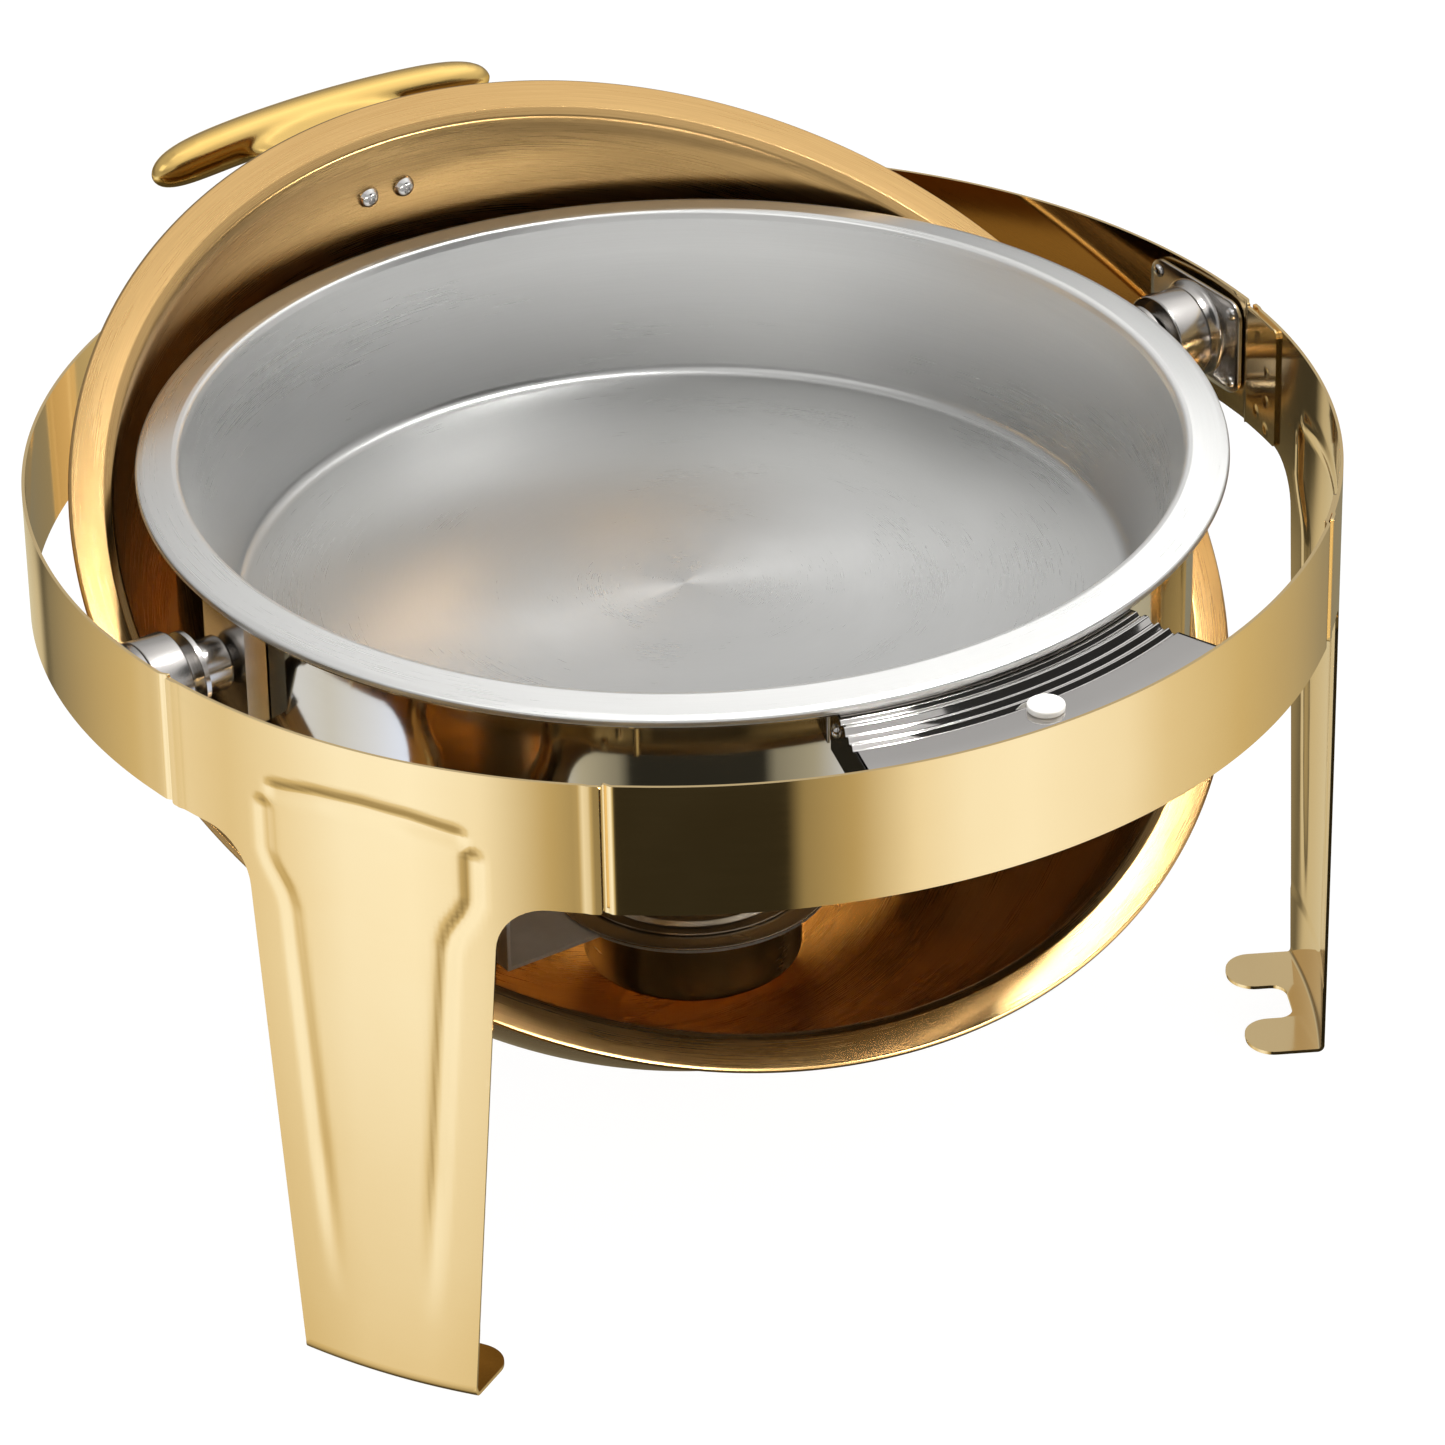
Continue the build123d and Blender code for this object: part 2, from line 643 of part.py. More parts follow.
def cover_top():
    return cover_low() + COVER_SHEET + len(COVER_STEPS) * COVER_STEP


def cover_rivet():
    low = BURNER_FLANGE_Z - PIN_END_GAP / 2
    head_low = cover_low() + COVER_SHEET + RIVET_GAP
    shank = Pos(COVER_PIVOT_X, 0, low) * Cylinder(RIVET_R - RIVET_FIT, head_low - low, align=CORNER)
    head = Cylinder(RIVET_HEAD_R, RIVET_HEAD, align=CORNER)
    head = fillet(head.faces().sort_by(Axis.Z)[-1].edges(), HEAD_CHAMFER)
    return shank + Pos(COVER_PIVOT_X, 0, head_low) * head


def cover_knob():
    knob = Cylinder(*KNOB_NECK, align=CORNER)
    knob += Pos(0, 0, KNOB_NECK[1] - KNOB_LAP) * Cylinder(*KNOB_HEAD, align=CORNER)
    knob = fillet(knob.faces().sort_by(Axis.Z)[-1].edges(), KNOB_ROUND)
    return Pos(KNOB_X, 0, cover_top()) * knob


def both_sides(name, shape_right, parts):
    parts[name + "_right"] = shape_right
    parts[name + "_left"] = mirrored(shape_right)


def build_all():
    parts = {name: facing(leg(), heading) for name, heading in LEG_HEADINGS.items()}
    front_seam = FRONT_LEG_DEG - LEG_WING_DEG
    side_seam = FRONT_LEG_DEG + LEG_WING_DEG
    rear_seam = 180 - LEG_WING_DEG
    parts["band_front"] = band_segment(-front_seam, front_seam)
    parts["band_rear_right"] = band_segment(side_seam, rear_seam)
    parts["band_rear_left"] = band_segment(-rear_seam, -side_seam)
    both_sides("hinge_plate", hinge_plate(), parts)
    both_sides("hinge_sleeve", hinge_sleeve(), parts)
    both_sides("friction_discs", Compound(children=friction_discs()), parts)
    both_sides("hinge_pin", hinge_pin(), parts)
    both_sides("hinge_nut", hinge_nut(), parts)
    both_sides("hanger", hanger(), parts)
    both_sides("plate_rivets", Compound(children=plate_rivets()), parts)
    both_sides("lid_ear", lid_ear(), parts)
    both_sides("lid_barrel", lid_barrel(), parts)
    both_sides("ear_screws", Compound(children=ear_screws()), parts)
    parts["lid_shell"] = lid_shell()
    parts["lid_handle"] = lid_handle()
    parts["handle_screws"] = Compound(children=handle_screws())
    parts["food_pan"] = food_pan()
    parts["water_pan"] = water_pan()
    parts["front_ledge"] = front_ledge()
    parts["ledge_screws"] = Compound(children=ledge_screws())
    parts["lid_bumper"] = lid_bumper()
    parts["burner_bracket"] = burner_bracket()
    parts["burner_cup"] = burner_cup()
    parts["burner_cover"] = burner_cover()
    parts["cover_rivet"] = cover_rivet()
    parts["cover_knob"] = cover_knob()
    return parts


for node, shape in build_all().items():
    export_step(shape, "parts/" + node + ".step")
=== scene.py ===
from math import acos, atan2, cos, hypot, pi, radians, sin, sqrt

import bmesh
import bpy
from mathutils import Matrix, Vector


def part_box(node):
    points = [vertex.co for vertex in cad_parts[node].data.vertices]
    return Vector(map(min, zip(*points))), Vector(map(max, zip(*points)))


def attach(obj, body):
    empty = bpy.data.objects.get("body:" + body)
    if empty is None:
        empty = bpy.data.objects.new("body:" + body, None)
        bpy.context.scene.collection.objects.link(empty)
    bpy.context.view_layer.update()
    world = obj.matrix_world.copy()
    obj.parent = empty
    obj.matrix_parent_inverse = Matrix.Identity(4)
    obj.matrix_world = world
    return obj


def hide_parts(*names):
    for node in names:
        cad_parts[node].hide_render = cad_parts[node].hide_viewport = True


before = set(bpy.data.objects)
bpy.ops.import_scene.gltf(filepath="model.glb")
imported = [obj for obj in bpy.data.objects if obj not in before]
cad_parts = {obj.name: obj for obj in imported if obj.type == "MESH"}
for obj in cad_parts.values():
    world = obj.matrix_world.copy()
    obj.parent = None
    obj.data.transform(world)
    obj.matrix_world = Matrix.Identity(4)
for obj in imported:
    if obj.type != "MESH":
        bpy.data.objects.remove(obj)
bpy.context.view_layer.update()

MM = 0.001

# Dimensions shared with the CAD parts, in millimetres.
BAND_R = 240.0
SHEET = 1.2
BAND_LOW, BAND_TOP = 209.3, 260.0
FRONT_LEG_DEG = 61.4
WING_DEG = 20.6
HINGE_Z = 237.0
LID_OPEN_DEG = 150.6
HANDLE_TILT = 16.6


# ---------------------------------------------------------------- meshes

def add_object(name, mesh, matrix=None):
    obj = bpy.data.objects.new(name, mesh)
    bpy.context.scene.collection.objects.link(obj)
    if matrix is not None:
        obj.matrix_world = matrix
    bpy.context.view_layer.update()
    return obj


def mesh_from(name, verts, faces, sharp_deg=38, scale=MM):
    mesh = bpy.data.meshes.new(name)
    mesh.from_pydata([[c * scale for c in v] for v in verts], [], faces)
    work = bmesh.new()
    work.from_mesh(mesh)
    bmesh.ops.recalc_face_normals(work, faces=work.faces)
    work.to_mesh(mesh)
    work.free()
    finish_mesh(mesh, sharp_deg)
    return mesh


def finish_mesh(mesh, sharp_deg):
    mesh.shade_smooth()
    mesh.set_sharp_from_angle(angle=radians(sharp_deg))


def arc_corner(before, corner, after, radius, steps):
    """Points of the round that replaces one corner of a path."""
    a = Vector(before) - Vector(corner)
    b = Vector(after) - Vector(corner)
    half = a.angle(b) / 2
    if radius <= 0 or half > radians(89.5):
        return [tuple(corner)]
    back = min(radius / max(1e-6, abs(sin(half) / cos(half))), a.length * 0.499, b.length * 0.499)
    start = Vector(corner) + a.normalized() * back
    end = Vector(corner) + b.normalized() * back
    points = []
    for step in range(steps + 1):
        t = step / steps
        w0, w1, w2 = (1 - t) ** 2, 2 * t * (1 - t) * sin(half), t * t
        total = w0 + w1 + w2
        point = (start * w0 + Vector(corner) * w1 + end * w2) / total
        points.append((point.x, point.y))
    return points


def rounded_path(points, closed=True, steps=5):
    """Points are (x, y) or (x, y, radius). Corners with a radius become rational arcs."""
    path = []
    count = len(points)
    for i, point in enumerate(points):
        radius = point[2] if len(point) > 2 else 0.0
        if not closed and i in (0, count - 1):
            path.append(tuple(point[:2]))
            continue
        path += arc_corner(points[i - 1][:2], point[:2], points[(i + 1) % count][:2], radius, steps)
    return path


def arc_points(centre, radius, start_deg, end_deg, steps):
    turns = [start_deg + (end_deg - start_deg) * n / steps for n in range(steps + 1)]
    return [(centre[0] + radius * cos(radians(t)), centre[1] + radius * sin(radians(t))) for t in turns]


def lathe(name, outline, segments=160, start_deg=0.0, end_deg=360.0, closed=True, sharp_deg=38):
    """Turns a radius-height outline about Z. A part turn gets flat ends."""
    full = abs(end_deg - start_deg - 360) < 1e-6
    rings = segments if full else segments + 1
    verts, index = [], []
    for r, z in outline:
        if r < 1e-6 and full:
            index.append([len(verts)] * rings)
            verts.append((0, 0, z))
            continue
        row = []
        for n in range(rings):
            a = radians(start_deg + (end_deg - start_deg) * n / segments)
            row.append(len(verts))
            verts.append((r * cos(a), r * sin(a), z))
        index.append(row)
    faces = []
    pairs = len(outline) if closed else len(outline) - 1
    for i in range(pairs):
        low, high = index[i], index[(i + 1) % len(outline)]
        for n in range(segments):
            m = (n + 1) % rings if full else n + 1
            corners = [low[n], low[m], high[m], high[n]]
            unique = list(dict.fromkeys(corners))
            if len(unique) > 2:
                faces.append(unique)
    if closed and not full:
        faces.append([row[0] for row in index])
        faces.append([row[-1] for row in reversed(index)])
    return unwrap_round(mesh_from(name, verts, faces, sharp_deg))


def unwrap_round(mesh):
    """Gives a mesh a UV layer whose U runs round the Z axis, for the direction of the brushing."""
    layer = mesh.uv_layers.new(name="UVMap")
    for face in mesh.polygons:
        centre = atan2(face.center.y, face.center.x)
        for loop in face.loop_indices:
            point = mesh.vertices[mesh.loops[loop].vertex_index].co
            radius = hypot(point.x, point.y)
            turn = centre if radius < 1e-7 else atan2(point.y, point.x)
            while turn - centre > pi:
                turn -= 2 * pi
            while turn - centre < -pi:
                turn += 2 * pi
            layer.data[loop].uv = (turn / (2 * pi), (radius + point.z) * 3.0)
    return mesh


def solid_from_flat(name, outline, steps_s, steps_t, outer, inner, sharp_deg=50):
    """A sheet: a flat outline cut into a fine grid, its two faces placed by two functions of (s, t)."""
    work = bmesh.new()
    work.faces.new([work.verts.new((s, t, 0)) for s, t in outline])
    for axis, cuts in ((Vector((1, 0, 0)), steps_s), (Vector((0, 1, 0)), steps_t)):
        for cut in cuts:
            geometry = work.verts[:] + work.edges[:] + work.faces[:]
            bmesh.ops.bisect_plane(work, geom=geometry, dist=1e-4, plane_co=axis * cut, plane_no=axis)
    work.verts.index_update()
    work.edges.ensure_lookup_table()
    flat = [(v.co.x, v.co.y) for v in work.verts]
    count = len(flat)
    verts = [outer(s, t) for s, t in flat] + [inner(s, t) for s, t in flat]
    faces = []
    for f in work.faces:
        ids = [v.index for v in f.verts]
        faces.append(ids)
        faces.append([i + count for i in reversed(ids)])
    for e in work.edges:
        if e.is_boundary:
            a, b = e.verts[0].index, e.verts[1].index
            faces.append([a, b, b + count, a + count])
    work.free()
    return mesh_from(name, verts, faces, sharp_deg)


def joined(name, meshes, sharp_deg):
    """One mesh made of several."""
    work = bmesh.new()
    for part in meshes:
        work.from_mesh(part)
    mesh = bpy.data.meshes.new(name)
    work.to_mesh(mesh)
    work.free()
    finish_mesh(mesh, sharp_deg)
    return mesh


def spread(low, high, step):
    """The places between two ends that cut the run into even steps of about the given size."""
    count = max(1, round((high - low) / step))
    return [low + (high - low) * n / count for n in range(1, count)]


def smooth_step(x, low, high):
    t = min(1.0, max(0.0, (x - low) / (high - low)))
    return t * t * (3 - 2 * t)


def soften(obj, width_mm):
    """Rounds the sharp edges of a piece."""
    bevel = obj.modifiers.new("edge_round", "BEVEL")
    bevel.width = width_mm * MM
    bevel.segments = 2
    bevel.limit_method = "ANGLE"
    bevel.angle_limit = radians(50)
    bevel.harden_normals = False


def place(name, mesh, body, material, nodes, matrix=None, round_mm=0.0, bake=False):
    """Puts a piece in the scene, on its body, with its finish and the CAD nodes it stands for."""
    mesh.materials.clear()
    for finish in (material if isinstance(material, (list, tuple)) else [material]):
        mesh.materials.append(finish)
    if matrix is not None and bake:
        mesh.transform(matrix)
        matrix = None
    obj = add_object(name, mesh, matrix)
    if round_mm:
        soften(obj, round_mm)
    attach(obj, body)
    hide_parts(*nodes)
    return obj


def heading_turn(heading):
    """Turns a piece made along +X to a heading counted from the front towards +X."""
    return Matrix.Rotation(radians(heading - 90), 4, "Z")


def on_hinge_axis(side):
    """A lathe frame whose Z runs outward along the hinge axis, to the right (1) or left (-1)."""
    turn = Matrix.Rotation(radians(90 * side), 4, "Y")
    return Matrix.Translation((0, 0, HINGE_Z * MM)) @ turn


LID_FRAME = Matrix.Translation((0, 0, HINGE_Z * MM)) @ Matrix.Rotation(radians(-LID_OPEN_DEG), 4, "X")


# ---------------------------------------------------------------- materials

class Nodes:
    """Small helpers for building a node tree, which a subclass names self.tree."""

    def node(self, kind, **props):
        node = self.tree.nodes.new(kind)
        for key, value in props.items():
            setattr(node, key, value)
        return node

    def link(self, a, b):
        self.tree.links.new(a, b)

    def math(self, operation, a, b=None):
        node = self.node("ShaderNodeMath", operation=operation)
        for socket, value in zip(node.inputs, (a, b)):
            if value is None:
                continue
            if isinstance(value, (int, float)):
                socket.default_value = value
            else:
                self.link(value, socket)
        return node.outputs[0]


class Finish(Nodes):
    """A principled material with small helpers for procedural detail in object space."""

    def __init__(self, name, color, metallic=1.0, roughness=0.2):
        self.mat = bpy.data.materials.new(name)
        self.mat.use_nodes = True
        self.tree = self.mat.node_tree
        self.bsdf = self.tree.nodes["Principled BSDF"]
        self.set("Base Color", (*color, 1))
        self.set("Metallic", metallic)
        self.set("Roughness", roughness)
        self.coords = self.node("ShaderNodeTexCoord").outputs["Object"]
        self.height = None

    def tilt_coords(self, frame_matrix):
        """Reads object space from a tilted frame, for round brushing about another axis."""
        back = frame_matrix.inverted()
        node = self.node("ShaderNodeMapping")
        node.inputs["Location"].default_value = back.to_translation()
        node.inputs["Rotation"].default_value = back.to_euler("XYZ")
        self.link(self.coords, node.inputs["Vector"])
        self.coords = node.outputs[0]

    def set(self, socket, value):
        self.bsdf.inputs[socket].default_value = value

    def noise(self, scale, detail=3.0, stretch=(1, 1, 1), distortion=0.0):
        mapping = self.node("ShaderNodeMapping")
        mapping.inputs["Scale"].default_value = stretch
        self.link(self.coords, mapping.inputs["Vector"])
        noise = self.node("ShaderNodeTexNoise")
        noise.inputs["Scale"].default_value = scale
        noise.inputs["Detail"].default_value = detail
        noise.inputs["Distortion"].default_value = distortion
        self.link(mapping.outputs[0], noise.inputs["Vector"])
        return noise.outputs["Fac"]

    def rings(self, around, across, detail=2.0):
        """Noise drawn out into lines round the object's own Z axis, with no seam."""
        split = self.node("ShaderNodeSeparateXYZ")
        self.link(self.coords, split.inputs[0])
        x, y, z = split.outputs
        r = self.math("SQRT", self.math("ADD", self.math("MULTIPLY", x, x), self.math("MULTIPLY", y, y)))
        safe = self.math("MAXIMUM", r, 1e-5)
        join = self.node("ShaderNodeCombineXYZ")
        self.link(self.math("MULTIPLY", self.math("DIVIDE", x, safe), around), join.inputs[0])
        self.link(self.math("MULTIPLY", self.math("DIVIDE", y, safe), around), join.inputs[1])
        self.link(self.math("MULTIPLY", z, across), join.inputs[2])
        noise = self.node("ShaderNodeTexNoise", noise_dimensions="4D")
        noise.inputs["Scale"].default_value = 1.0
        noise.inputs["Detail"].default_value = detail
        self.link(join.outputs[0], noise.inputs["Vector"])
        self.link(self.math("MULTIPLY", r, across), noise.inputs["W"])
        return noise.outputs["Fac"]

    def spread(self, value, low, high, source=(0.3, 0.7)):
        node = self.node("ShaderNodeMapRange")
        node.inputs["From Min"].default_value, node.inputs["From Max"].default_value = source
        node.inputs["To Min"].default_value, node.inputs["To Max"].default_value = low, high
        self.link(value, node.inputs["Value"])
        return node.outputs[0]

    def mix_colors(self, value, a, b, source=(0.3, 0.7)):
        ramp = self.node("ShaderNodeValToRGB")
        ramp.color_ramp.elements[0].position, ramp.color_ramp.elements[1].position = source
        ramp.color_ramp.elements[0].color = (*a, 1)
        ramp.color_ramp.elements[1].color = (*b, 1)
        self.link(value, ramp.inputs["Fac"])
        return ramp.outputs["Color"]

    def painted_shade_below(self, color, low_mm, high_mm, tone):
        """Darkens a colour towards a lower height: painted shade, standing in for the darker reflections low on
        a wall near its floor.
        """
        split = self.node("ShaderNodeSeparateXYZ")
        self.link(self.coords, split.inputs[0])
        share = self.spread(split.outputs[2], tone, 1.0, (low_mm * MM, high_mm * MM))
        mix = self.node("ShaderNodeMix", data_type="RGBA", blend_type="MULTIPLY")
        mix.inputs["Factor"].default_value = 1.0
        self.link(color, mix.inputs["A"])
        self.link(share, mix.inputs["B"])
        return mix.outputs["Result"]

    def color(self, socket):
        self.link(socket, self.bsdf.inputs["Base Color"])

    def rough(self, *parts):
        total = parts[0]
        for part in parts[1:]:
            total = self.math("ADD", total, part)
        self.link(self.math("MAXIMUM", total, 0.02), self.bsdf.inputs["Roughness"])

    def bump(self, value, distance_mm):
        node = self.node("ShaderNodeBump")
        node.inputs["Strength"].default_value = 1.0
        node.inputs["Distance"].default_value = distance_mm * MM
        self.link(value, node.inputs["Height"])
        if self.height is not None:
            self.link(self.height, node.inputs["Normal"])
        self.height = node.outputs["Normal"]
        self.link(self.height, self.bsdf.inputs["Normal"])

    def brushed_round(self, amount):
        """Round brushing: highlights run across the object's own Z axis rings."""
        self.set("Anisotropic", amount)
        tangent = self.node("ShaderNodeTangent", direction_type="UV_MAP", uv_map="UVMap")
        self.link(tangent.outputs[0], self.bsdf.inputs["Tangent"])


def polished_metal(name, light, dark, rough, smudge=0.05, wave_mm=0.05, streak=0.02):
    """Mirror-like metal with faint smears and a slightly wavy sheet."""
    f = Finish(name, light, roughness=rough)
    smears = f.noise(9.0, 4.0, distortion=0.6)
    f.color(f.mix_colors(smears, dark, light))
    fine = f.noise(1.0, 2.0, stretch=(60, 60, 900))
    f.rough(f.spread(smears, rough, rough + smudge, (0.42, 0.72)), f.spread(fine, 0.0, streak))
    f.bump(f.noise(14.0, 1.0), wave_mm)
    f.bump(fine, 0.0012)
    return f.mat


def brushed_metal(name, light, dark, rough, aniso, depth_mm=0.004, vary=0.10, line_vary=0.03,
                  axis_frame=None, painted_low_shade=None, metallic=1.0):
    """Metal brushed round an axis. The low shade argument is (low mm, high mm, tone at the low end): painted
    shade that darkens the colour towards its low end.
    """
    f = Finish(name, light, metallic=metallic, roughness=rough)
    if axis_frame is not None:
        f.tilt_coords(axis_frame)
    line = f.rings(7.0, 2600.0, 3.0)
    cloud = f.rings(1.6, 38.0, 3.0)
    tone = f.math("ADD", f.math("MULTIPLY", line, 0.45), f.math("MULTIPLY", cloud, 0.55))
    color = f.mix_colors(tone, dark, light, (0.36, 0.64))
    f.color(f.painted_shade_below(color, *painted_low_shade) if painted_low_shade else color)
    f.rough(f.spread(cloud, rough - vary / 2, rough + vary / 2), f.spread(line, -line_vary, line_vary))
    f.bump(line, depth_mm)
    f.brushed_round(aniso)
    return f.mat


GOLD = polished_metal("polished_gold_sheet", (0.88, 0.665, 0.345), (0.85, 0.62, 0.30), 0.055, 0.035, 0.025,
                      0.012)
# The lid's dome and rim are one gold sheet given two copies of one finish: the dome's colour is darkened with
# painted shade, the rim's lightened with painted highlight.
GOLD_DOME_PAINTED_SHADE = brushed_metal("brushed_gold_dome_painted_shade", (0.56, 0.36, 0.15), (0.42, 0.26, 0.10), 0.28, 0.45,
                          axis_frame=LID_FRAME)
GOLD_RIM_PAINTED_HIGHLIGHT = brushed_metal("satin_gold_rim_painted_highlight", (0.98, 0.84, 0.51), (0.94, 0.78, 0.44), 0.28, 0.45, vary=0.03,
                         axis_frame=LID_FRAME)
GOLD_CAST = polished_metal("cast_gold_grip", (0.84, 0.58, 0.20), (0.76, 0.49, 0.14), 0.16, 0.08, 0.10)
# Painted shade: the wall's colour darkens from full at 250 mm to half at 205 mm and below, near the floor
# corner.
STEEL_SATIN = brushed_metal("satin_steel_wall", (0.84, 0.84, 0.825), (0.80, 0.80, 0.785), 0.29, 0.45,
                            depth_mm=0.001, vary=0.03, line_vary=0.015, painted_low_shade=(205.0, 250.0, 0.50),
                            metallic=0.9)
STEEL_FLOOR = brushed_metal("satin_steel_floor", (0.82, 0.82, 0.80), (0.805, 0.805, 0.785), 0.46, 0.0,
                            depth_mm=0.0004, vary=0.02, line_vary=0.008, metallic=0.6)
STEEL_RIM = brushed_metal("satin_steel_rim", (0.86, 0.86, 0.87), (0.80, 0.80, 0.81), 0.22, 0.35, vary=0.05)
STEEL_MIRROR = polished_metal("mirror_steel_sheet", (0.70, 0.68, 0.66), (0.62, 0.60, 0.58), 0.05, 0.04, 0.06)
CHROME = polished_metal("chrome_plate", (0.56, 0.54, 0.52), (0.46, 0.44, 0.42), 0.17, 0.08, 0.04)
SCREW = polished_metal("screw_steel", (0.80, 0.79, 0.78), (0.62, 0.61, 0.60), 0.14, 0.10, 0.05)
BURNER = polished_metal("burner_steel_sheet", (0.66, 0.58, 0.48), (0.52, 0.44, 0.34), 0.24, 0.12, 0.05)


def bracket_metal():
    """Dull zinc-plated sheet, half mirror and half matt."""
    f = Finish("zinc_sheet", (0.74, 0.72, 0.69), metallic=0.45, roughness=0.48)
    f.color(f.mix_colors(f.noise(55.0, 4.0), (0.66, 0.64, 0.61), (0.78, 0.76, 0.73)))
    f.rough(f.spread(f.noise(120.0, 3.0), 0.42, 0.54))
    f.bump(f.noise(900.0, 3.0), 0.01)
    return f.mat


ZINC = bracket_metal()


def soft_material(name, light, dark, rough, grain, depth_mm):
    """Rubber, plastic or composite with a fine grain."""
    f = Finish(name, light, metallic=0.0, roughness=rough)
    f.color(f.mix_colors(f.noise(160.0, 4.0), dark, light))
    f.rough(f.spread(f.noise(90.0, 3.0), rough - 0.06, rough + 0.08))
    f.bump(f.noise(grain, 5.0), depth_mm)
    return f.mat


BUMPER = soft_material("white_bumper_rubber", (0.84, 0.83, 0.80), (0.76, 0.75, 0.72), 0.42, 1500.0, 0.03)
DISC = soft_material("friction_disc_composite", (0.13, 0.12, 0.11), (0.06, 0.055, 0.05), 0.6, 2200.0, 0.04)
KNOB = soft_material("phenolic_knob", (0.035, 0.035, 0.036), (0.018, 0.018, 0.02), 0.32, 900.0, 0.01)

for prefixes, finish in (
    (("friction_discs",), DISC),
    (("hinge_pin", "hinge_nut", "hanger", "lid_ear"), CHROME),
    (("cover_rivet",), SCREW),
    (("burner_bracket",), ZINC),
):
    for node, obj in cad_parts.items():
        if node.startswith(prefixes):
            obj.data.materials.clear()
            obj.data.materials.append(finish)


# ---------------------------------------------------------------- legs and bands

BEND_R = 2.6
FOOT_IN = 31.0
LEG_SHEET = 1.4
FOOT_TIP_R = 11.3
LEG_TOP_HALF, LEG_FOOT_HALF = 50.0, 35.0
WING = radians(WING_DEG) * BAND_R
BEND_END = BEND_R - pi * BEND_R / 2
TOP_BEAD = [(-36.0, 234.0), (-18.0, 236.9), (0.0, 237.8), (18.0, 236.9), (36.0, 234.0)]
SIDE_BEAD = [
    (41.0, 226.0), (40.8, 208.5), (38.5, 203.0), (33.0, 194.5), (30.9, 188.0), (25.5, 118.0), (18.5, 26.0),
]
BEAD_REACH = 5.2
SIDE_BEAD_DEPTH, TOP_BEAD_DEPTH = 0.75, 0.7


def path_distance(point, path):
    """The shortest distance from a point to a path of straight runs."""
    best = 1e9
    for (x0, y0), (x1, y1) in zip(path, path[1:]):
        dx, dy = x1 - x0, y1 - y0
        t = max(0.0, min(1.0, ((point[0] - x0) * dx + (point[1] - y0) * dy) / (dx * dx + dy * dy)))
        best = min(best, hypot(point[0] - x0 - t * dx, point[1] - y0 - t * dy))
    return best


def bead_depth(s, t):
    """How far the leg's wall is pressed in at a point, for the top bead and the two side beads."""
    if t < 8:
        return 0.0
    side = path_distance((abs(s), t), SIDE_BEAD)
    top = path_distance((s, t), TOP_BEAD)
    fade = smooth_step(t, 26, 95)
    depth = 0.0
    for distance, amount in ((side, SIDE_BEAD_DEPTH * fade), (top, TOP_BEAD_DEPTH)):
        if distance < BEAD_REACH:
            depth = max(depth, amount * (0.5 + 0.5 * cos(pi * distance / BEAD_REACH)))
    return depth


def leg_place(s, t, inward):
    """A point of the leg's sheet: down the wall, round the bend and in along the foot."""
    a = s / BAND_R
    x, y = BAND_R * cos(a), BAND_R * sin(a)
    if t >= BEND_R:
        lift = 0.55 * smooth_step(abs(s), WING - 6.0, WING - 4.6)
        r = BAND_R - bead_depth(s, t) + lift * smooth_step(t, 200, 206) - inward
        return (r * cos(a), r * sin(a), t)
    if t >= BEND_END:
        turn = (BEND_R - t) / BEND_R
        radius = BEND_R - inward
        back = BEND_R - radius * cos(turn)
        return (x - back, y, BEND_R - radius * sin(turn))
    reach = FOOT_IN - BEND_R
    along = (BEND_END - t) * (1 - (BAND_R - x) / reach)
    return (x - BEND_R - along, y, inward)


def leg_sheet(name):
    """The leg as one sheet: wings along the band, the tapered leg and the slotted foot."""
    tip = BEND_END - (FOOT_IN - BEND_R)
    neck = BEND_END - 7.4
    half = [
        (0, neck), (11.5, neck, 8.0), (11.5, tip, FOOT_TIP_R), (LEG_FOOT_HALF, tip, FOOT_TIP_R),
        (LEG_FOOT_HALF, BEND_R + 1), (LEG_TOP_HALF, BAND_LOW, 26.0),
        (WING, BAND_LOW, 0.8), (WING, BAND_TOP, 0.8),
    ]
    points = half + [(-s, t, *r) for s, t, *r in reversed(half[1:])]
    outline = rounded_path(points, steps=10)
    cuts_s = spread(-WING, WING, 1.9)
    cuts_t = spread(BEND_END, BEND_R, 0.8) + [BEND_END, BEND_R]
    cuts_t += spread(BEND_R, 200, 2.4) + spread(200, BAND_TOP, 1.9)
    cuts_t += [200.0, (tip + neck) / 2]
    return solid_from_flat(
        name, outline, cuts_s, cuts_t,
        lambda s, t: leg_place(s, t, 0.0),
        lambda s, t: leg_place(s, t, SHEET if t > 30 else LEG_SHEET),
    )


leg_mesh = leg_sheet("leg_sheet")
leg_headings = {"leg_front_left": -FRONT_LEG_DEG, "leg_front_right": FRONT_LEG_DEG, "leg_rear": 180}
for node, heading in leg_headings.items():
    place(node + "_pressing", leg_mesh.copy(), "frame", GOLD, [node],
          heading_turn(heading), 0.28, bake=True)


SEAM_GAP_DEG = 0.15
TONGUE_DEG = 5.5
TONGUE_STEP = 1.38
WELD_R, WELD_DEPTH = 1.8, 0.35


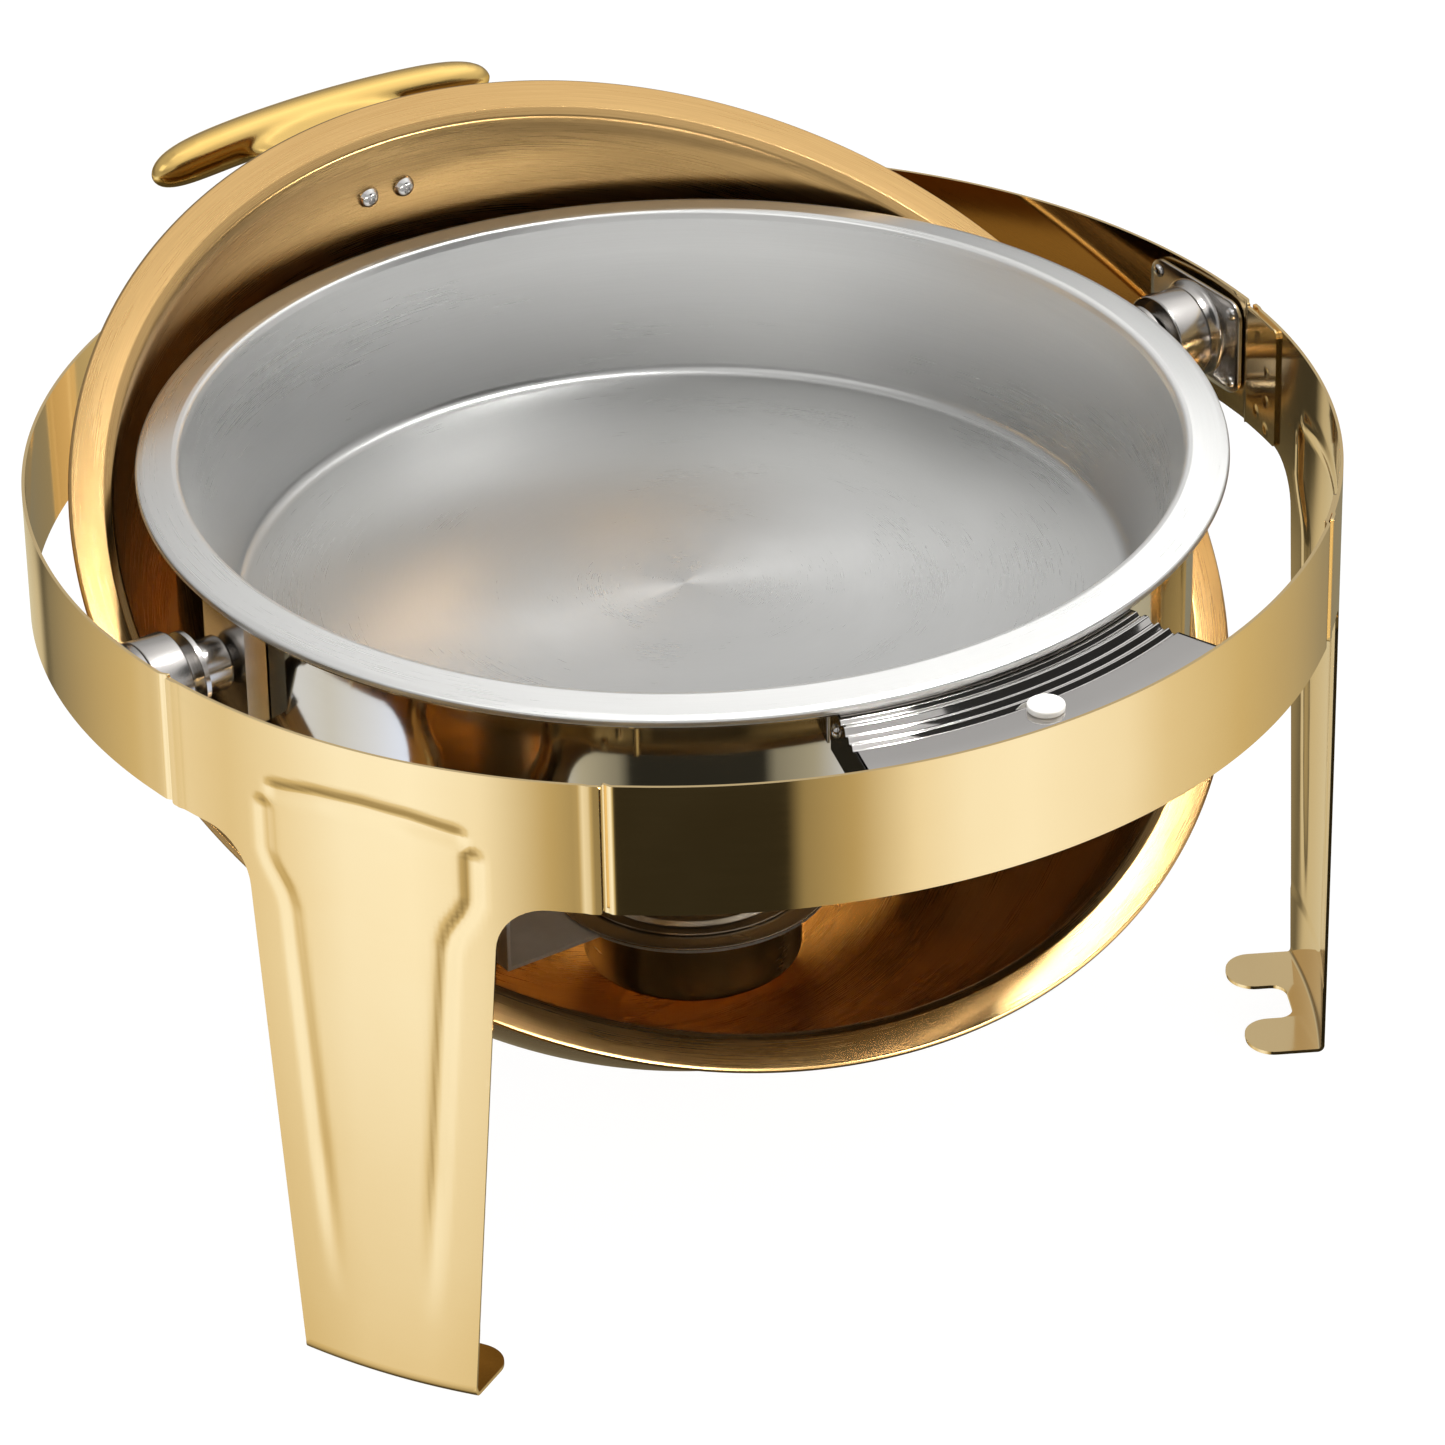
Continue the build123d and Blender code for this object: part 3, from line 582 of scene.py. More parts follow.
def band_sheet(name, half_deg):
    """A band segment with its stepped-in tongues, and rows of spot-weld dimples in them."""
    end = radians(half_deg - SEAM_GAP_DEG) * BAND_R
    tongue = radians(half_deg + TONGUE_DEG) * BAND_R
    half = [
        (end - 0.2, BAND_LOW, 0.6), (end, BAND_LOW + 0.6, 0.3), (tongue, BAND_LOW + 0.6, 1.5),
        (tongue, BAND_TOP - 1.2, 3.0), (end, BAND_TOP - 1.2, 0.3), (end - 0.2, BAND_TOP, 0.6),
    ]
    outline = rounded_path(half + [(-s, t, *r) for s, t, *r in reversed(half)], steps=4)
    welds = [(end + 8.0, z) for z in (218.0, 250.0)] + [(end + 16.0, z) for z in (214.0, 226.0, 238.0)]

    def radius(s, t):
        step = TONGUE_STEP * smooth_step(abs(s), end - 3.6, end - 0.4)
        dimple = 0.0
        if abs(s) > end:
            for ws, wt in welds:
                d = hypot(abs(s) - ws, t - wt)
                if d < WELD_R:
                    dimple = WELD_DEPTH * (0.5 + 0.5 * cos(pi * d / WELD_R))
        return BAND_R - step + 0.1 * smooth_step(abs(s), end - 12, end - 5), dimple

    def outer(s, t):
        r, _ = radius(s, t)
        return (r * cos(s / BAND_R), r * sin(s / BAND_R), t)

    def inner(s, t):
        r, dimple = radius(s, t)
        r += dimple - SHEET
        return (r * cos(s / BAND_R), r * sin(s / BAND_R), t)

    cuts = []
    for side in (-1, 1):
        cuts += [side * c for c in spread(end - 5, tongue, 0.8)] + [side * (end - 5)]
    cuts += spread(-end + 5, end - 5, 2.4)
    return solid_from_flat(name, outline, cuts, spread(BAND_LOW, BAND_TOP, 1.2), outer, inner)


front_seam = FRONT_LEG_DEG - WING_DEG
side_seam = FRONT_LEG_DEG + WING_DEG
rear_seam = 180 - WING_DEG
for node, start, end in (
    ("band_front", -front_seam, front_seam),
    ("band_rear_right", side_seam, rear_seam),
    ("band_rear_left", -rear_seam, -side_seam),
):
    mesh = band_sheet(node + "_sheet", (end - start) / 2)
    place(node + "_rolled", mesh, "frame", GOLD, [node],
          heading_turn((start + end) / 2), 0.28, bake=True)


# ---------------------------------------------------------------- lid

DOME_IN_R, DOME_OUT_R = 207.0, 208.0
DOME_STEPS = 70


def dome_arc(radius, low):
    """A quarter-round profile from the crown down to a height."""
    reach = acos(low / radius)
    turns = [reach * n / DOME_STEPS for n in range(DOME_STEPS + 1)]
    return [(radius * sin(turn), radius * cos(turn)) for turn in turns]


def lid_outline():
    """Inside from the crown to the rim, round the rim's lip, and back over the outside."""
    inner = dome_arc(DOME_IN_R, 38.5)
    outer = dome_arc(DOME_OUT_R, 40.0)[::-1]
    rim = rounded_path([
        inner[-1], (205.0, 35.2, 2.5), (208.6, 33.7, 2.5), (220.7, 33.1, 0.6), (221.5, 33.9, 0.5),
        (221.5, 35.5, 0.4), (220.6, 35.5, 0.3), (220.2, 34.4, 0.5), (208.8, 34.9, 2.0), (206.6, 36.5, 2.0),
        (sqrt(DOME_OUT_R**2 - 40.0**2), 40.0),
    ], closed=False, steps=6)
    return inner[:-1] + rim + outer[1:]


lid_mesh = lathe("lid_dome", lid_outline(), segments=288, closed=False, sharp_deg=60)
# Rim faces take the copy lightened with painted highlight, the rest the copy darkened with painted shade.
for face in lid_mesh.polygons:
    middle = face.center
    face.material_index = 1 if hypot(middle.x, middle.y) > 0.2052 and middle.z < 0.0395 else 0
place("lid_dome_spun", lid_mesh, "lid", [GOLD_DOME_PAINTED_SHADE, GOLD_RIM_PAINTED_HIGHLIGHT], ["lid_shell"],
      LID_FRAME, bake=True)


def handle_frame():
    """The handle's own frame: X along the grip, Z from the hinge axis out to the grip."""
    tilt = radians(HANDLE_TILT)
    out = Vector((0, -cos(tilt), sin(tilt)))
    x = Vector((1, 0, 0))
    y = out.cross(x)
    turn = Matrix((x, y, out)).transposed().to_4x4()
    return LID_FRAME @ turn


GRIP_END = 76.5


def ring_tube(rings):
    """Vertices and faces of a capped tube through rings of the same size."""
    verts = [v for ring in rings for v in ring]
    size = len(rings[0])
    faces = []
    for i in range(len(rings) - 1):
        for n in range(size):
            m = (n + 1) % size
            faces.append([i * size + n, i * size + m, (i + 1) * size + m, (i + 1) * size + n])
    faces.append(list(range(size)))
    faces.append([len(verts) - size + n for n in reversed(range(size))])
    return verts, faces


def grip_rings():
    """The grip: a gentle bow, thickest at the middle, closed by round ends."""
    rings = []
    for n in range(97):
        x = GRIP_END * sin((-1 + 2 * n / 96) * pi / 2)
        bow = 260.0 - 6.0 * (x / 69.0) ** 2
        size = sqrt(max(0.0, 1 - (abs(x) / GRIP_END) ** 8.0))
        width, thick = 9.2 * size + 0.05, 8.5 * size + 0.05
        ring = []
        for k in range(32):
            a = 2 * pi * k / 32
            ring.append((x, width * cos(a), bow + thick * sin(a)))
        rings.append(ring)
    return rings


NECK_LOW, NECK_TOP = 205.0, 256.0


def oval(long_half, short_half, z, steps=48):
    turns = [2 * pi * k / steps for k in range(steps)]
    return [(long_half * cos(turn), short_half * sin(turn), z) for turn in turns]


def neck_rings():
    """The neck: oval sections from inside the dome up into the grip, flared at both ends."""
    rings = []
    for n in range(31):
        t = n / 30
        z = NECK_LOW + (NECK_TOP - NECK_LOW) * t
        flare = 3.2 * (1 - smooth_step(t, 0, 0.28)) + 20.0 * smooth_step(t, 0.30, 1.0) ** 2
        long_half = 18.0 + 2.0 * t + flare
        short_half = 5.6 + 0.8 * (1 - smooth_step(t, 0, 0.3)) + 1.0 * smooth_step(t, 0.6, 1.0)
        rings.append(oval(long_half, short_half, z))
    return rings


def handle_mesh():
    """Grip and neck melted together by a voxel remesh, then trimmed to sit on the dome."""
    verts, faces = [], []
    for rings in (grip_rings(), neck_rings()):
        v, f = ring_tube(rings)
        faces += [[i + len(verts) for i in face] for face in f]
        verts += v
    raw = mesh_from("handle_raw", verts, faces)
    holder = add_object("handle_raw", raw)
    remesh = holder.modifiers.new("melt", "REMESH")
    remesh.mode = "VOXEL"
    remesh.voxel_size = 1.25 * MM
    smooth = holder.modifiers.new("ease", "SMOOTH")
    smooth.factor = 0.5
    smooth.iterations = 14
    mesh = bpy.data.meshes.new_from_object(holder.evaluated_get(bpy.context.evaluated_depsgraph_get()))
    bpy.data.objects.remove(holder)
    seat = 208.15 * MM
    work = bmesh.new()
    work.from_mesh(mesh)
    for v in work.verts:
        if v.co.length < seat:
            v.co = v.co.normalized() * seat
    bmesh.ops.remove_doubles(work, verts=work.verts, dist=1e-5)
    work.to_mesh(mesh)
    work.free()
    finish_mesh(mesh, 70)
    return mesh


place("lid_handle_cast", handle_mesh(), "lid", GOLD_CAST, ["lid_handle"], handle_frame(),
      bake=True)


def domed_screw(radius, height, recess, segments=40):
    """A dome-headed screw with a small round socket, its face towards +Z."""
    outline = [(0.0, -1.0), (radius * 0.5, -1.0), (radius * 0.5, 0.0)]
    outline += rounded_path([(radius * 0.5, 0.0), (radius, 0.0, 0.2), (radius, height * 0.25, 0.3),
                             (radius * 0.72, height * 0.86, radius * 0.5), (recess, height, 0.3)],
                            closed=False, steps=7)[1:]
    outline += [(recess * 0.94, height * 0.55), (0.0, height * 0.45)]
    return lathe("domed_screw", outline, segments=segments, closed=False, sharp_deg=50)


def screw_group(name, spots, body, material, nodes, radius, height, recess):
    """Several screws in one object; each spot is a matrix with Z out of the surface."""
    one = domed_screw(radius, height, recess)
    screws = []
    for spot in spots:
        screws.append(one.copy())
        screws[-1].transform(spot)
    return place(name, joined(name, screws, 50), body, material, nodes)


def z_along(direction, origin):
    """A frame at a point, in millimetres, with its Z along a direction."""
    turn = Vector((0, 0, 1)).rotation_difference(Vector(direction)).to_matrix().to_4x4()
    return Matrix.Translation([c * MM for c in origin]) @ turn


HALF_TURN = Matrix.Rotation(pi, 4, "X")
inside = handle_frame() @ HALF_TURN
spots = [inside @ Matrix.Translation((x * MM, 0, -206.7 * MM)) for x in (-8.0, 8.0)]
screw_group("handle_screws_domed", spots, "lid", SCREW, ["handle_screws"], 4.3, 3.2, 1.4)

for side, word in ((1, "right"), (-1, "left")):
    spots = []
    for y in (-10.0, 10.0):
        spots.append(LID_FRAME @ Matrix.Translation((side * 215.8 * MM, y * MM, 30.8 * MM)) @ HALF_TURN)
    screw_group("ear_screws_domed_" + word, spots, "lid", SCREW, ["ear_screws_" + word],
                3.4, 2.2, 1.1)


# ---------------------------------------------------------------- hinges

PLATE_HALF_WIDE, PLATE_HALF_HIGH, PLATE_CORNER = 27.5, 19.5, 7.0
PLATE_IN = 235.3


def plate_mesh(name):
    """The hinge's wall plate with its dished boss, drawn as rings from the pin out to a rounded rectangle."""

    def edge(a, shrink):
        w, h, c = PLATE_HALF_WIDE - shrink, PLATE_HALF_HIGH - shrink, max(0.5, PLATE_CORNER - shrink)
        dx, dy = cos(a), sin(a)
        t = min(w / max(1e-9, abs(dx)), h / max(1e-9, abs(dy)))
        x, y = abs(dx * t), abs(dy * t)
        if x > w - c and y > h - c:
            cx, cy = w - c, h - c
            b = -(abs(dx) * cx + abs(dy) * cy)
            k = cx * cx + cy * cy - c * c
            t = -b + sqrt(max(0.0, b * b - k))
        return (dx * t, dy * t)

    rings = [
        (5.1, 230.6, None), (5.6, 230.4, None), (16.2, 230.4, None), (16.9, 230.8, None), (17.2, 232.4, None),
        (17.6, 234.0, None), (18.3, 235.0, None), (19.0, PLATE_IN, None),
        (None, PLATE_IN, 3.0), (None, PLATE_IN, 0.5), (None, 235.5, 0.1), (None, 235.9, 0.0),
        (None, 236.7, 0.0), (None, 236.9, 0.4), (19.2, 236.9, None), (5.1, 236.9, None),
    ]
    segments = 144
    verts, faces = [], []
    for radius, height, shrink in rings:
        for n in range(segments):
            a = 2 * pi * n / segments
            x, y = (radius * cos(a), radius * sin(a)) if radius else edge(a, shrink)
            verts.append((y, x, height))
    count = len(rings)
    for i in range(count):
        j = (i + 1) % count
        for n in range(segments):
            m = (n + 1) % segments
            faces.append([i * segments + n, i * segments + m, j * segments + m, j * segments + n])
    return mesh_from(name, verts, faces, 40)


def sleeve_outline():
    return rounded_path([
        (5.2, 216.4, 0.1), (17.0, 216.4, 0.9), (17.0, 230.2, 0.4), (15.4, 230.2, 0.1), (15.4, 218.2, 0.1),
        (5.2, 218.2, 0.1),
    ])


def barrel_outline():
    return rounded_path([
        (5.15, 196.6, 0.1), (9.0, 196.6, 0.6), (10.0, 197.8, 0.8), (10.0, 215.0, 0.5), (9.5, 215.9, 0.4),
        (5.15, 215.9, 0.1),
    ])


for side, word in ((1, "right"), (-1, "left")):
    axis = on_hinge_axis(side)
    place("hinge_plate_dished_" + word, plate_mesh("hinge_plate"), "frame", CHROME,
          ["hinge_plate_" + word], axis)
    place("hinge_sleeve_turned_" + word, lathe("hinge_sleeve", sleeve_outline(), 112), "frame",
          CHROME, ["hinge_sleeve_" + word], axis)
    place("lid_barrel_turned_" + word, lathe("lid_barrel", barrel_outline(), 96), "lid",
          CHROME, ["lid_barrel_" + word], axis)
    spots = []
    for y in (-22.5, 22.5):
        for z in (-14.5, 14.5):
            spots.append(z_along((-side, 0, 0), (side * PLATE_IN, y, HINGE_Z + z)))
    screw_group("plate_rivets_domed_" + word, spots, "frame", SCREW, ["plate_rivets_" + word],
                2.6, 1.3, 0.5)


# ---------------------------------------------------------------- pans

def food_pan_outline():
    """A round-cornered pan with a rolled rim, inside first."""
    return rounded_path([
        (0.0, 203.0), (150.0, 203.05), (164.8, 203.3, 5.5), (182.2, 261.2, 3.0), (183.4, 264.0, 2.2),
        (185.6, 264.35, 1.5), (196.2, 262.5, 3.5), (198.9, 261.6, 1.6), (199.1, 259.0, 1.2),
        (197.4, 258.4, 0.5),
        (196.9, 260.4, 0.8), (186.2, 262.9, 2.0), (183.9, 261.0, 2.0), (166.2, 202.6, 5.0), (0.0, 202.2),
    ], closed=False, steps=8)


def pan_finishes(mesh):
    """Gives the floor the second finish and the rim the third."""
    for face in mesh.polygons:
        r, z = hypot(face.center.x, face.center.y), face.center.z
        if r < 0.1625 and z < 0.2045:
            face.material_index = 1
        elif z > 0.2608 or r > 0.184:
            face.material_index = 2
    return mesh


def split_long(points, step):
    """Adds points along a path so that long runs shade evenly."""
    path = [points[0]]
    for a, b in zip(points, points[1:]):
        count = max(1, int(hypot(b[0] - a[0], b[1] - a[1]) / step))
        for n in range(1, count + 1):
            path.append((a[0] + (b[0] - a[0]) * n / count, a[1] + (b[1] - a[1]) * n / count))
    return path


food_mesh = lathe("food_pan", split_long(food_pan_outline(), 6), 288, closed=False, sharp_deg=60)
place("food_pan_drawn", pan_finishes(food_mesh), "food_pan_body",
      [STEEL_SATIN, STEEL_FLOOR, STEEL_RIM], ["food_pan"])

water = rounded_path([
    (0.0, 176.0), (185.5, 176.0, 10.0), (185.5, 258.3, 1.4), (197.4, 258.3, 0.3), (197.4, 257.3, 0.3),
    (186.5, 257.3, 0.5), (186.5, 175.0, 11.0), (0.0, 175.0),
], closed=False, steps=9)
place("water_pan_drawn", lathe("water_pan", split_long(water, 8), 256, closed=False, sharp_deg=60), "frame",
      STEEL_MIRROR, ["water_pan"])


# ---------------------------------------------------------------- ledge and bumper

def ledge_upper():
    """The landing ledge from above: a flat with a narrow channel, three flutes and the landing plate."""
    points = [
        (188.5, 257.2), (200.2, 257.2, 0.8), (201.2, 255.8, 0.6), (202.2, 255.8, 0.6), (203.2, 257.0, 0.8),
    ]
    for start, crest, root in ((205.0, 257.0, 254.4), (209.3, 256.2, 253.8), (213.6, 255.4, 253.4)):
        points += [(start, crest, 0.7), (start + 1.6, root, 0.8), (start + 2.5, root, 0.8)]
    return points + [(217.6, 254.8, 0.8), (238.0, 254.8, 1.4), (238.0, 239.0, 0.2)]


def ledge_outline():
    """The ledge's section: its upper face, its turned-down front, and its lower face."""
    upper = ledge_upper()
    lower = [(r, z - 1.0, 0.4) for r, z, *_ in reversed(upper[:-2])]
    return rounded_path(upper + [(237.0, 239.0, 0.2), (237.0, 253.8, 0.5)] + lower, steps=4)


def ledge_wall():
    """The end wall's section, from the ledge's upper face down to its foot."""
    return rounded_path(ledge_upper() + [(188.5, 239.0, 0.3)], steps=3)


LEDGE_START_DEG, LEDGE_END_DEG = -108.5, -71.5
LEDGE_WALL_DEG = 0.3
ledge_parts = [
    lathe("ledge_part", ledge_outline(), 96, LEDGE_START_DEG, LEDGE_END_DEG),
    lathe("ledge_part", ledge_wall(), 1, LEDGE_START_DEG, LEDGE_START_DEG + LEDGE_WALL_DEG),
    lathe("ledge_part", ledge_wall(), 1, LEDGE_END_DEG - LEDGE_WALL_DEG, LEDGE_END_DEG),
]
place("front_ledge_pressed", joined("front_ledge", ledge_parts, 38), "frame", STEEL_MIRROR,
      ["front_ledge"], None, 0.15)

spots = []
for side in (-1, 1):
    a = radians(side * 18.5)
    out = (side * cos(a), side * sin(a), 0)
    spots.append(z_along(out, (195.0 * sin(a), -195.0 * cos(a), 250.0)))
screw_group("ledge_screws_domed", spots, "frame", SCREW, ["ledge_screws"], 2.6, 1.6, 0.9)

bumper_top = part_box("lid_bumper")[1][2] / MM
bumper = rounded_path([
    (0.0, 254.8), (6.3, 254.8, 0.2), (6.7, 255.3, 0.3), (6.7, bumper_top, 0.9), (2.0, bumper_top, 0.5),
    (1.4, bumper_top - 0.8, 0.4), (0.0, bumper_top - 0.8),
], closed=False, steps=6)
place("lid_bumper_moulded", lathe("lid_bumper", bumper, 64, closed=False), "frame", BUMPER,
      ["lid_bumper"], Matrix.Translation((0, -222.0 * MM, 0)))


# ---------------------------------------------------------------- burner

cup = rounded_path([
    (0.0, 45.8), (40.7, 45.8, 3.0), (40.7, 78.0, 0.8), (54.6, 78.0, 0.4), (54.6, 77.2, 0.3),
    (41.5, 77.2, 0.5), (41.5, 45.0, 3.6), (0.0, 45.0),
], closed=False, steps=6)
place("burner_cup_drawn", lathe("burner_cup", split_long(cup, 4), 144, closed=False), "burner",
      BURNER, ["burner_cup"])


def cover_outline():
    """The burner cover's section, stepped up towards its middle hole."""
    low = 78.3
    top = low + 0.8
    upper = [(46.0, low, 0.3), (46.0, top, 0.3), (41.2, top, 0.6)]
    for step, radius in enumerate((40.6, 33.6, 26.6)):
        z = top + step * 2.0
        if step:
            upper.append((radius + 0.6, z, 0.6))
        upper.append((radius - 0.6, z + 2.0, 0.6))
    upper += [(20.0, top + 6.0, 0.3), (20.0, top + 5.2, 0.2)]
    lower = [(26.2, top + 5.2, 0.4), (27.0, top + 3.2, 0.4), (33.2, top + 3.2, 0.4), (34.0, top + 1.2, 0.4),
             (40.2, top + 1.2, 0.4), (41.0, low, 0.4)]
    return rounded_path(upper + lower, steps=4)


def cover_mesh():
    """The stepped ring with its pivot ear."""
    ring = lathe("burner_cover", cover_outline(), 144)
    ear_low, ear_top = 78.32, 79.08
    work = bmesh.new()
    work.from_mesh(ring)
    outer = arc_points((50.5, 0), 4.2, -90, 90, 20)
    outline = [(44.5, -5.2), (47.6, -4.3)] + outer + [(47.6, 4.3), (44.5, 5.2)]
    layers = []
    for z in (ear_low, ear_top):
        layers.append([work.verts.new((x * MM, y * MM, z * MM)) for x, y in outline])
    work.faces.new(layers[1])
    work.faces.new(list(reversed(layers[0])))
    for n in range(len(outline)):
        m = (n + 1) % len(outline)
        work.faces.new([layers[0][n], layers[0][m], layers[1][m], layers[1][n]])
    bmesh.ops.recalc_face_normals(work, faces=work.faces)
    work.to_mesh(ring)
    work.free()
    finish_mesh(ring, 40)
    return ring


place("burner_cover_pressed", cover_mesh(), "burner_cover_body", BURNER, ["burner_cover"])

knob_base = 85.1
knob = rounded_path([
    (0.0, knob_base), (2.2, knob_base, 0.1), (2.2, knob_base + 3.4, 0.3), (4.0, knob_base + 3.4, 0.5),
    (4.2, knob_base + 4.4, 0.6), (4.2, knob_base + 7.2, 1.4), (2.6, knob_base + 8.4, 1.6),
    (0.0, knob_base + 8.4),
], closed=False, steps=6)
place("cover_knob_moulded", lathe("cover_knob", knob, 48, closed=False), "burner_cover_body",
      KNOB, ["cover_knob"], Matrix.Translation((-23.0 * MM, 0, 0)))


# ---------------------------------------------------------------- floor, studio and camera

def floor():
    """A pale paper floor, a little below the feet, that the metal doesn't mirror."""
    mesh = lathe("studio_floor", [(0.0, 0.0), (900.0, 0.0), (9000.0, 0.0)], 96, closed=False)
    obj = add_object("studio_floor", mesh, Matrix.Translation((0, 0, -0.0004)))
    f = Finish("studio_floor_paper", (0.12, 0.12, 0.12), metallic=0.0, roughness=0.9)
    f.set("Specular IOR Level", 0.0)
    f.color(f.mix_colors(f.noise(40.0, 4.0), (0.116, 0.116, 0.116), (0.124, 0.124, 0.124)))
    f.set("Emission Color", (1, 1, 1, 1))
    f.set("Emission Strength", 0.95)
    mesh.materials.append(f.mat)
    obj.visible_glossy = False


floor()


class Studio(Nodes):
    """The surrounding studio, painted by direction: rings of soft cards, each ring at its own elevation."""

    def __init__(self):
        world = bpy.data.worlds.new("studio")
        bpy.context.scene.world = world
        world.use_nodes = True
        self.tree = world.node_tree
        self.tree.nodes.clear()
        coords = self.node("ShaderNodeTexCoord")
        split = self.node("ShaderNodeSeparateXYZ")
        self.link(coords.outputs["Generated"], split.inputs[0])
        x, y, z = split.outputs
        self.elevation = self.math("ARCSINE", z)
        heading = self.math("ARCTAN2", x, self.math("MULTIPLY", y, -1.0))
        self.turn = self.math("ADD", self.math("DIVIDE", heading, 2 * pi), 0.5)
        self.light = None
        self.last = None

    def ring(self, elevation, cards, tint=None):
        """A ring of cards, given as {heading: brightness}, that fades into the ring below it."""
        ramp = self.node("ShaderNodeValToRGB")
        stops = ramp.color_ramp.elements
        for _ in range(len(cards) - 2):
            stops.new(0.5)
        for stop, (heading, level) in zip(stops, sorted(cards.items())):
            stop.position = (heading + 180) / 360
            stop.color = (*(tint(level) if tint else (level, level * 0.995, level * 0.985)), 1)
        self.link(self.turn, ramp.inputs["Fac"])
        color = ramp.outputs["Color"]
        if self.light is not None:
            color = self.blend(self.light, color, self.last, elevation)
        self.light, self.last = color, elevation

    def blend(self, below, above, low, high):
        """Fades one colour into another between two elevations."""
        share = self.node("ShaderNodeMapRange", interpolation_type="SMOOTHSTEP")
        share.inputs["From Min"].default_value = radians(low)
        share.inputs["From Max"].default_value = radians(high)
        self.link(self.elevation, share.inputs["Value"])
        mix = self.node("ShaderNodeMix", data_type="RGBA")
        self.link(share.outputs[0], mix.inputs["Factor"])
        self.link(below, mix.inputs["A"])
        self.link(above, mix.inputs["B"])
        return mix.outputs["Result"]

    def finish(self, backdrop):
        """Shows a plain backdrop behind the object, and the cards to everything else."""
        light = self.node("ShaderNodeBackground")
        self.link(self.light, light.inputs["Color"])
        paper = self.node("ShaderNodeBackground")
        paper.inputs["Color"].default_value = (*backdrop, 1)
        ray = self.node("ShaderNodeLightPath")
        mix = self.node("ShaderNodeMixShader")
        self.link(ray.outputs["Is Camera Ray"], mix.inputs["Fac"])
        self.link(light.outputs[0], mix.inputs[1])
        self.link(paper.outputs[0], mix.inputs[2])
        out = self.node("ShaderNodeOutputWorld")
        self.link(mix.outputs[0], out.inputs["Surface"])


def warm(level):
    """Low cards turn warmer as they get darker, as a room's shadows do."""
    share = min(1.0, max(0.0, (level - 0.65) / 0.55))
    return (level * (1.06 - 0.11 * share), level * (0.94 + 0.11 * share), level * (0.62 + 0.63 * share))


# Brightness of the low cards by heading. Most of these levels are the rounded or averaged output of a program
# that read the brightness of the gold along the band and a leg off the photograph.
LOW_CARDS = {
    -180: 0.25, -158: 0.52, -146: 0.66, -133: 0.95, -121: 0.84, -108: 1.0, -96: 1.18, -83: 1.22, -70: 1.08,
    -58: 0.57, -49: 0.32, -46.5: 0.03, -15.9: 0.03, -15.1: 0.30, -5: 0.53, 6: 1.02, 16: 1.17, 27: 1.21,
    48: 1.05, 58: 0.85, 79: 0.65, 99: 0.5, 119: 0.3, 142: 0.22, 154: 0.65, 171: 0.6, 176: 0.12, 180: 0.25,
}
# Cards cut from the same levels, and dark behind, as the band's inner faces see them. They stand a little above
# the ones that its outer faces see.
INNER_CARDS = {heading: level for heading, level in LOW_CARDS.items() if -110 < heading < 150}
INNER_CARDS.update({-180: 0.05, -124: 0.05, 156: 0.6, 168: 0.5, 173: 0.05, 180: 0.05})


def scaled(cards, share):
    return {heading: level * share for heading, level in cards.items()}


studio = Studio()
studio.ring(-66, {-180: 0.06, 0: 0.10, 180: 0.06}, warm)
studio.ring(-46, scaled(LOW_CARDS, 0.35), warm)
studio.ring(-37, scaled(LOW_CARDS, 0.70), warm)
studio.ring(-31.5, LOW_CARDS, warm)
studio.ring(-29.4, LOW_CARDS, warm)
studio.ring(-28.3, INNER_CARDS, warm)
studio.ring(-15, LOW_CARDS, warm)
studio.ring(4, {-180: 0.2, -150: 0.18, -120: 0.28, -90: 0.5, -60: 0.62, 0: 0.62, 25: 0.7, 60: 0.55, 93: 0.4,
                150: 0.3, 180: 0.2})
studio.ring(30, {-180: 0.5, -60: 0.5, -33: 0.4, -6: 0.5, 60: 0.9, 115: 0.85, 132: 0.55, 160: 0.55, 172: 0.5,
                 180: 0.5})
studio.ring(52, {-180: 0.6, -90: 0.6, 0: 0.9, 50: 1.3, 82: 1.6, 120: 1.2, 150: 0.8, 180: 0.6})
studio.finish((1.0, 1.0, 1.0))


def area_light(name, watts, size, position, target, color=(1, 1, 1)):
    """A soft rectangular lamp at a position, aimed at a target, in metres."""
    data = bpy.data.lights.new(name, "AREA")
    data.energy = watts
    data.shape = "RECTANGLE"
    data.size, data.size_y = size
    data.color = color
    obj = bpy.data.objects.new(name, data)
    bpy.context.scene.collection.objects.link(obj)
    aim = Vector(target) - Vector(position)
    obj.matrix_world = Matrix.Translation(position) @ aim.to_track_quat("-Z", "Y").to_matrix().to_4x4()


area_light("under_strip", 26, (1.0, 0.2), (0.9, -1.5, 0.13), (0.05, -0.05, 0.12), (1.0, 0.95, 0.88))
area_light("low_left_strip", 22, (0.8, 0.2), (-0.7, -1.3, 0.13), (-0.08, 0.0, 0.12), (1.0, 0.97, 0.93))
area_light("key_softbox", 6, (1.8, 1.4), (-1.5, -0.3, 2.5), (0, 0, 0.2))


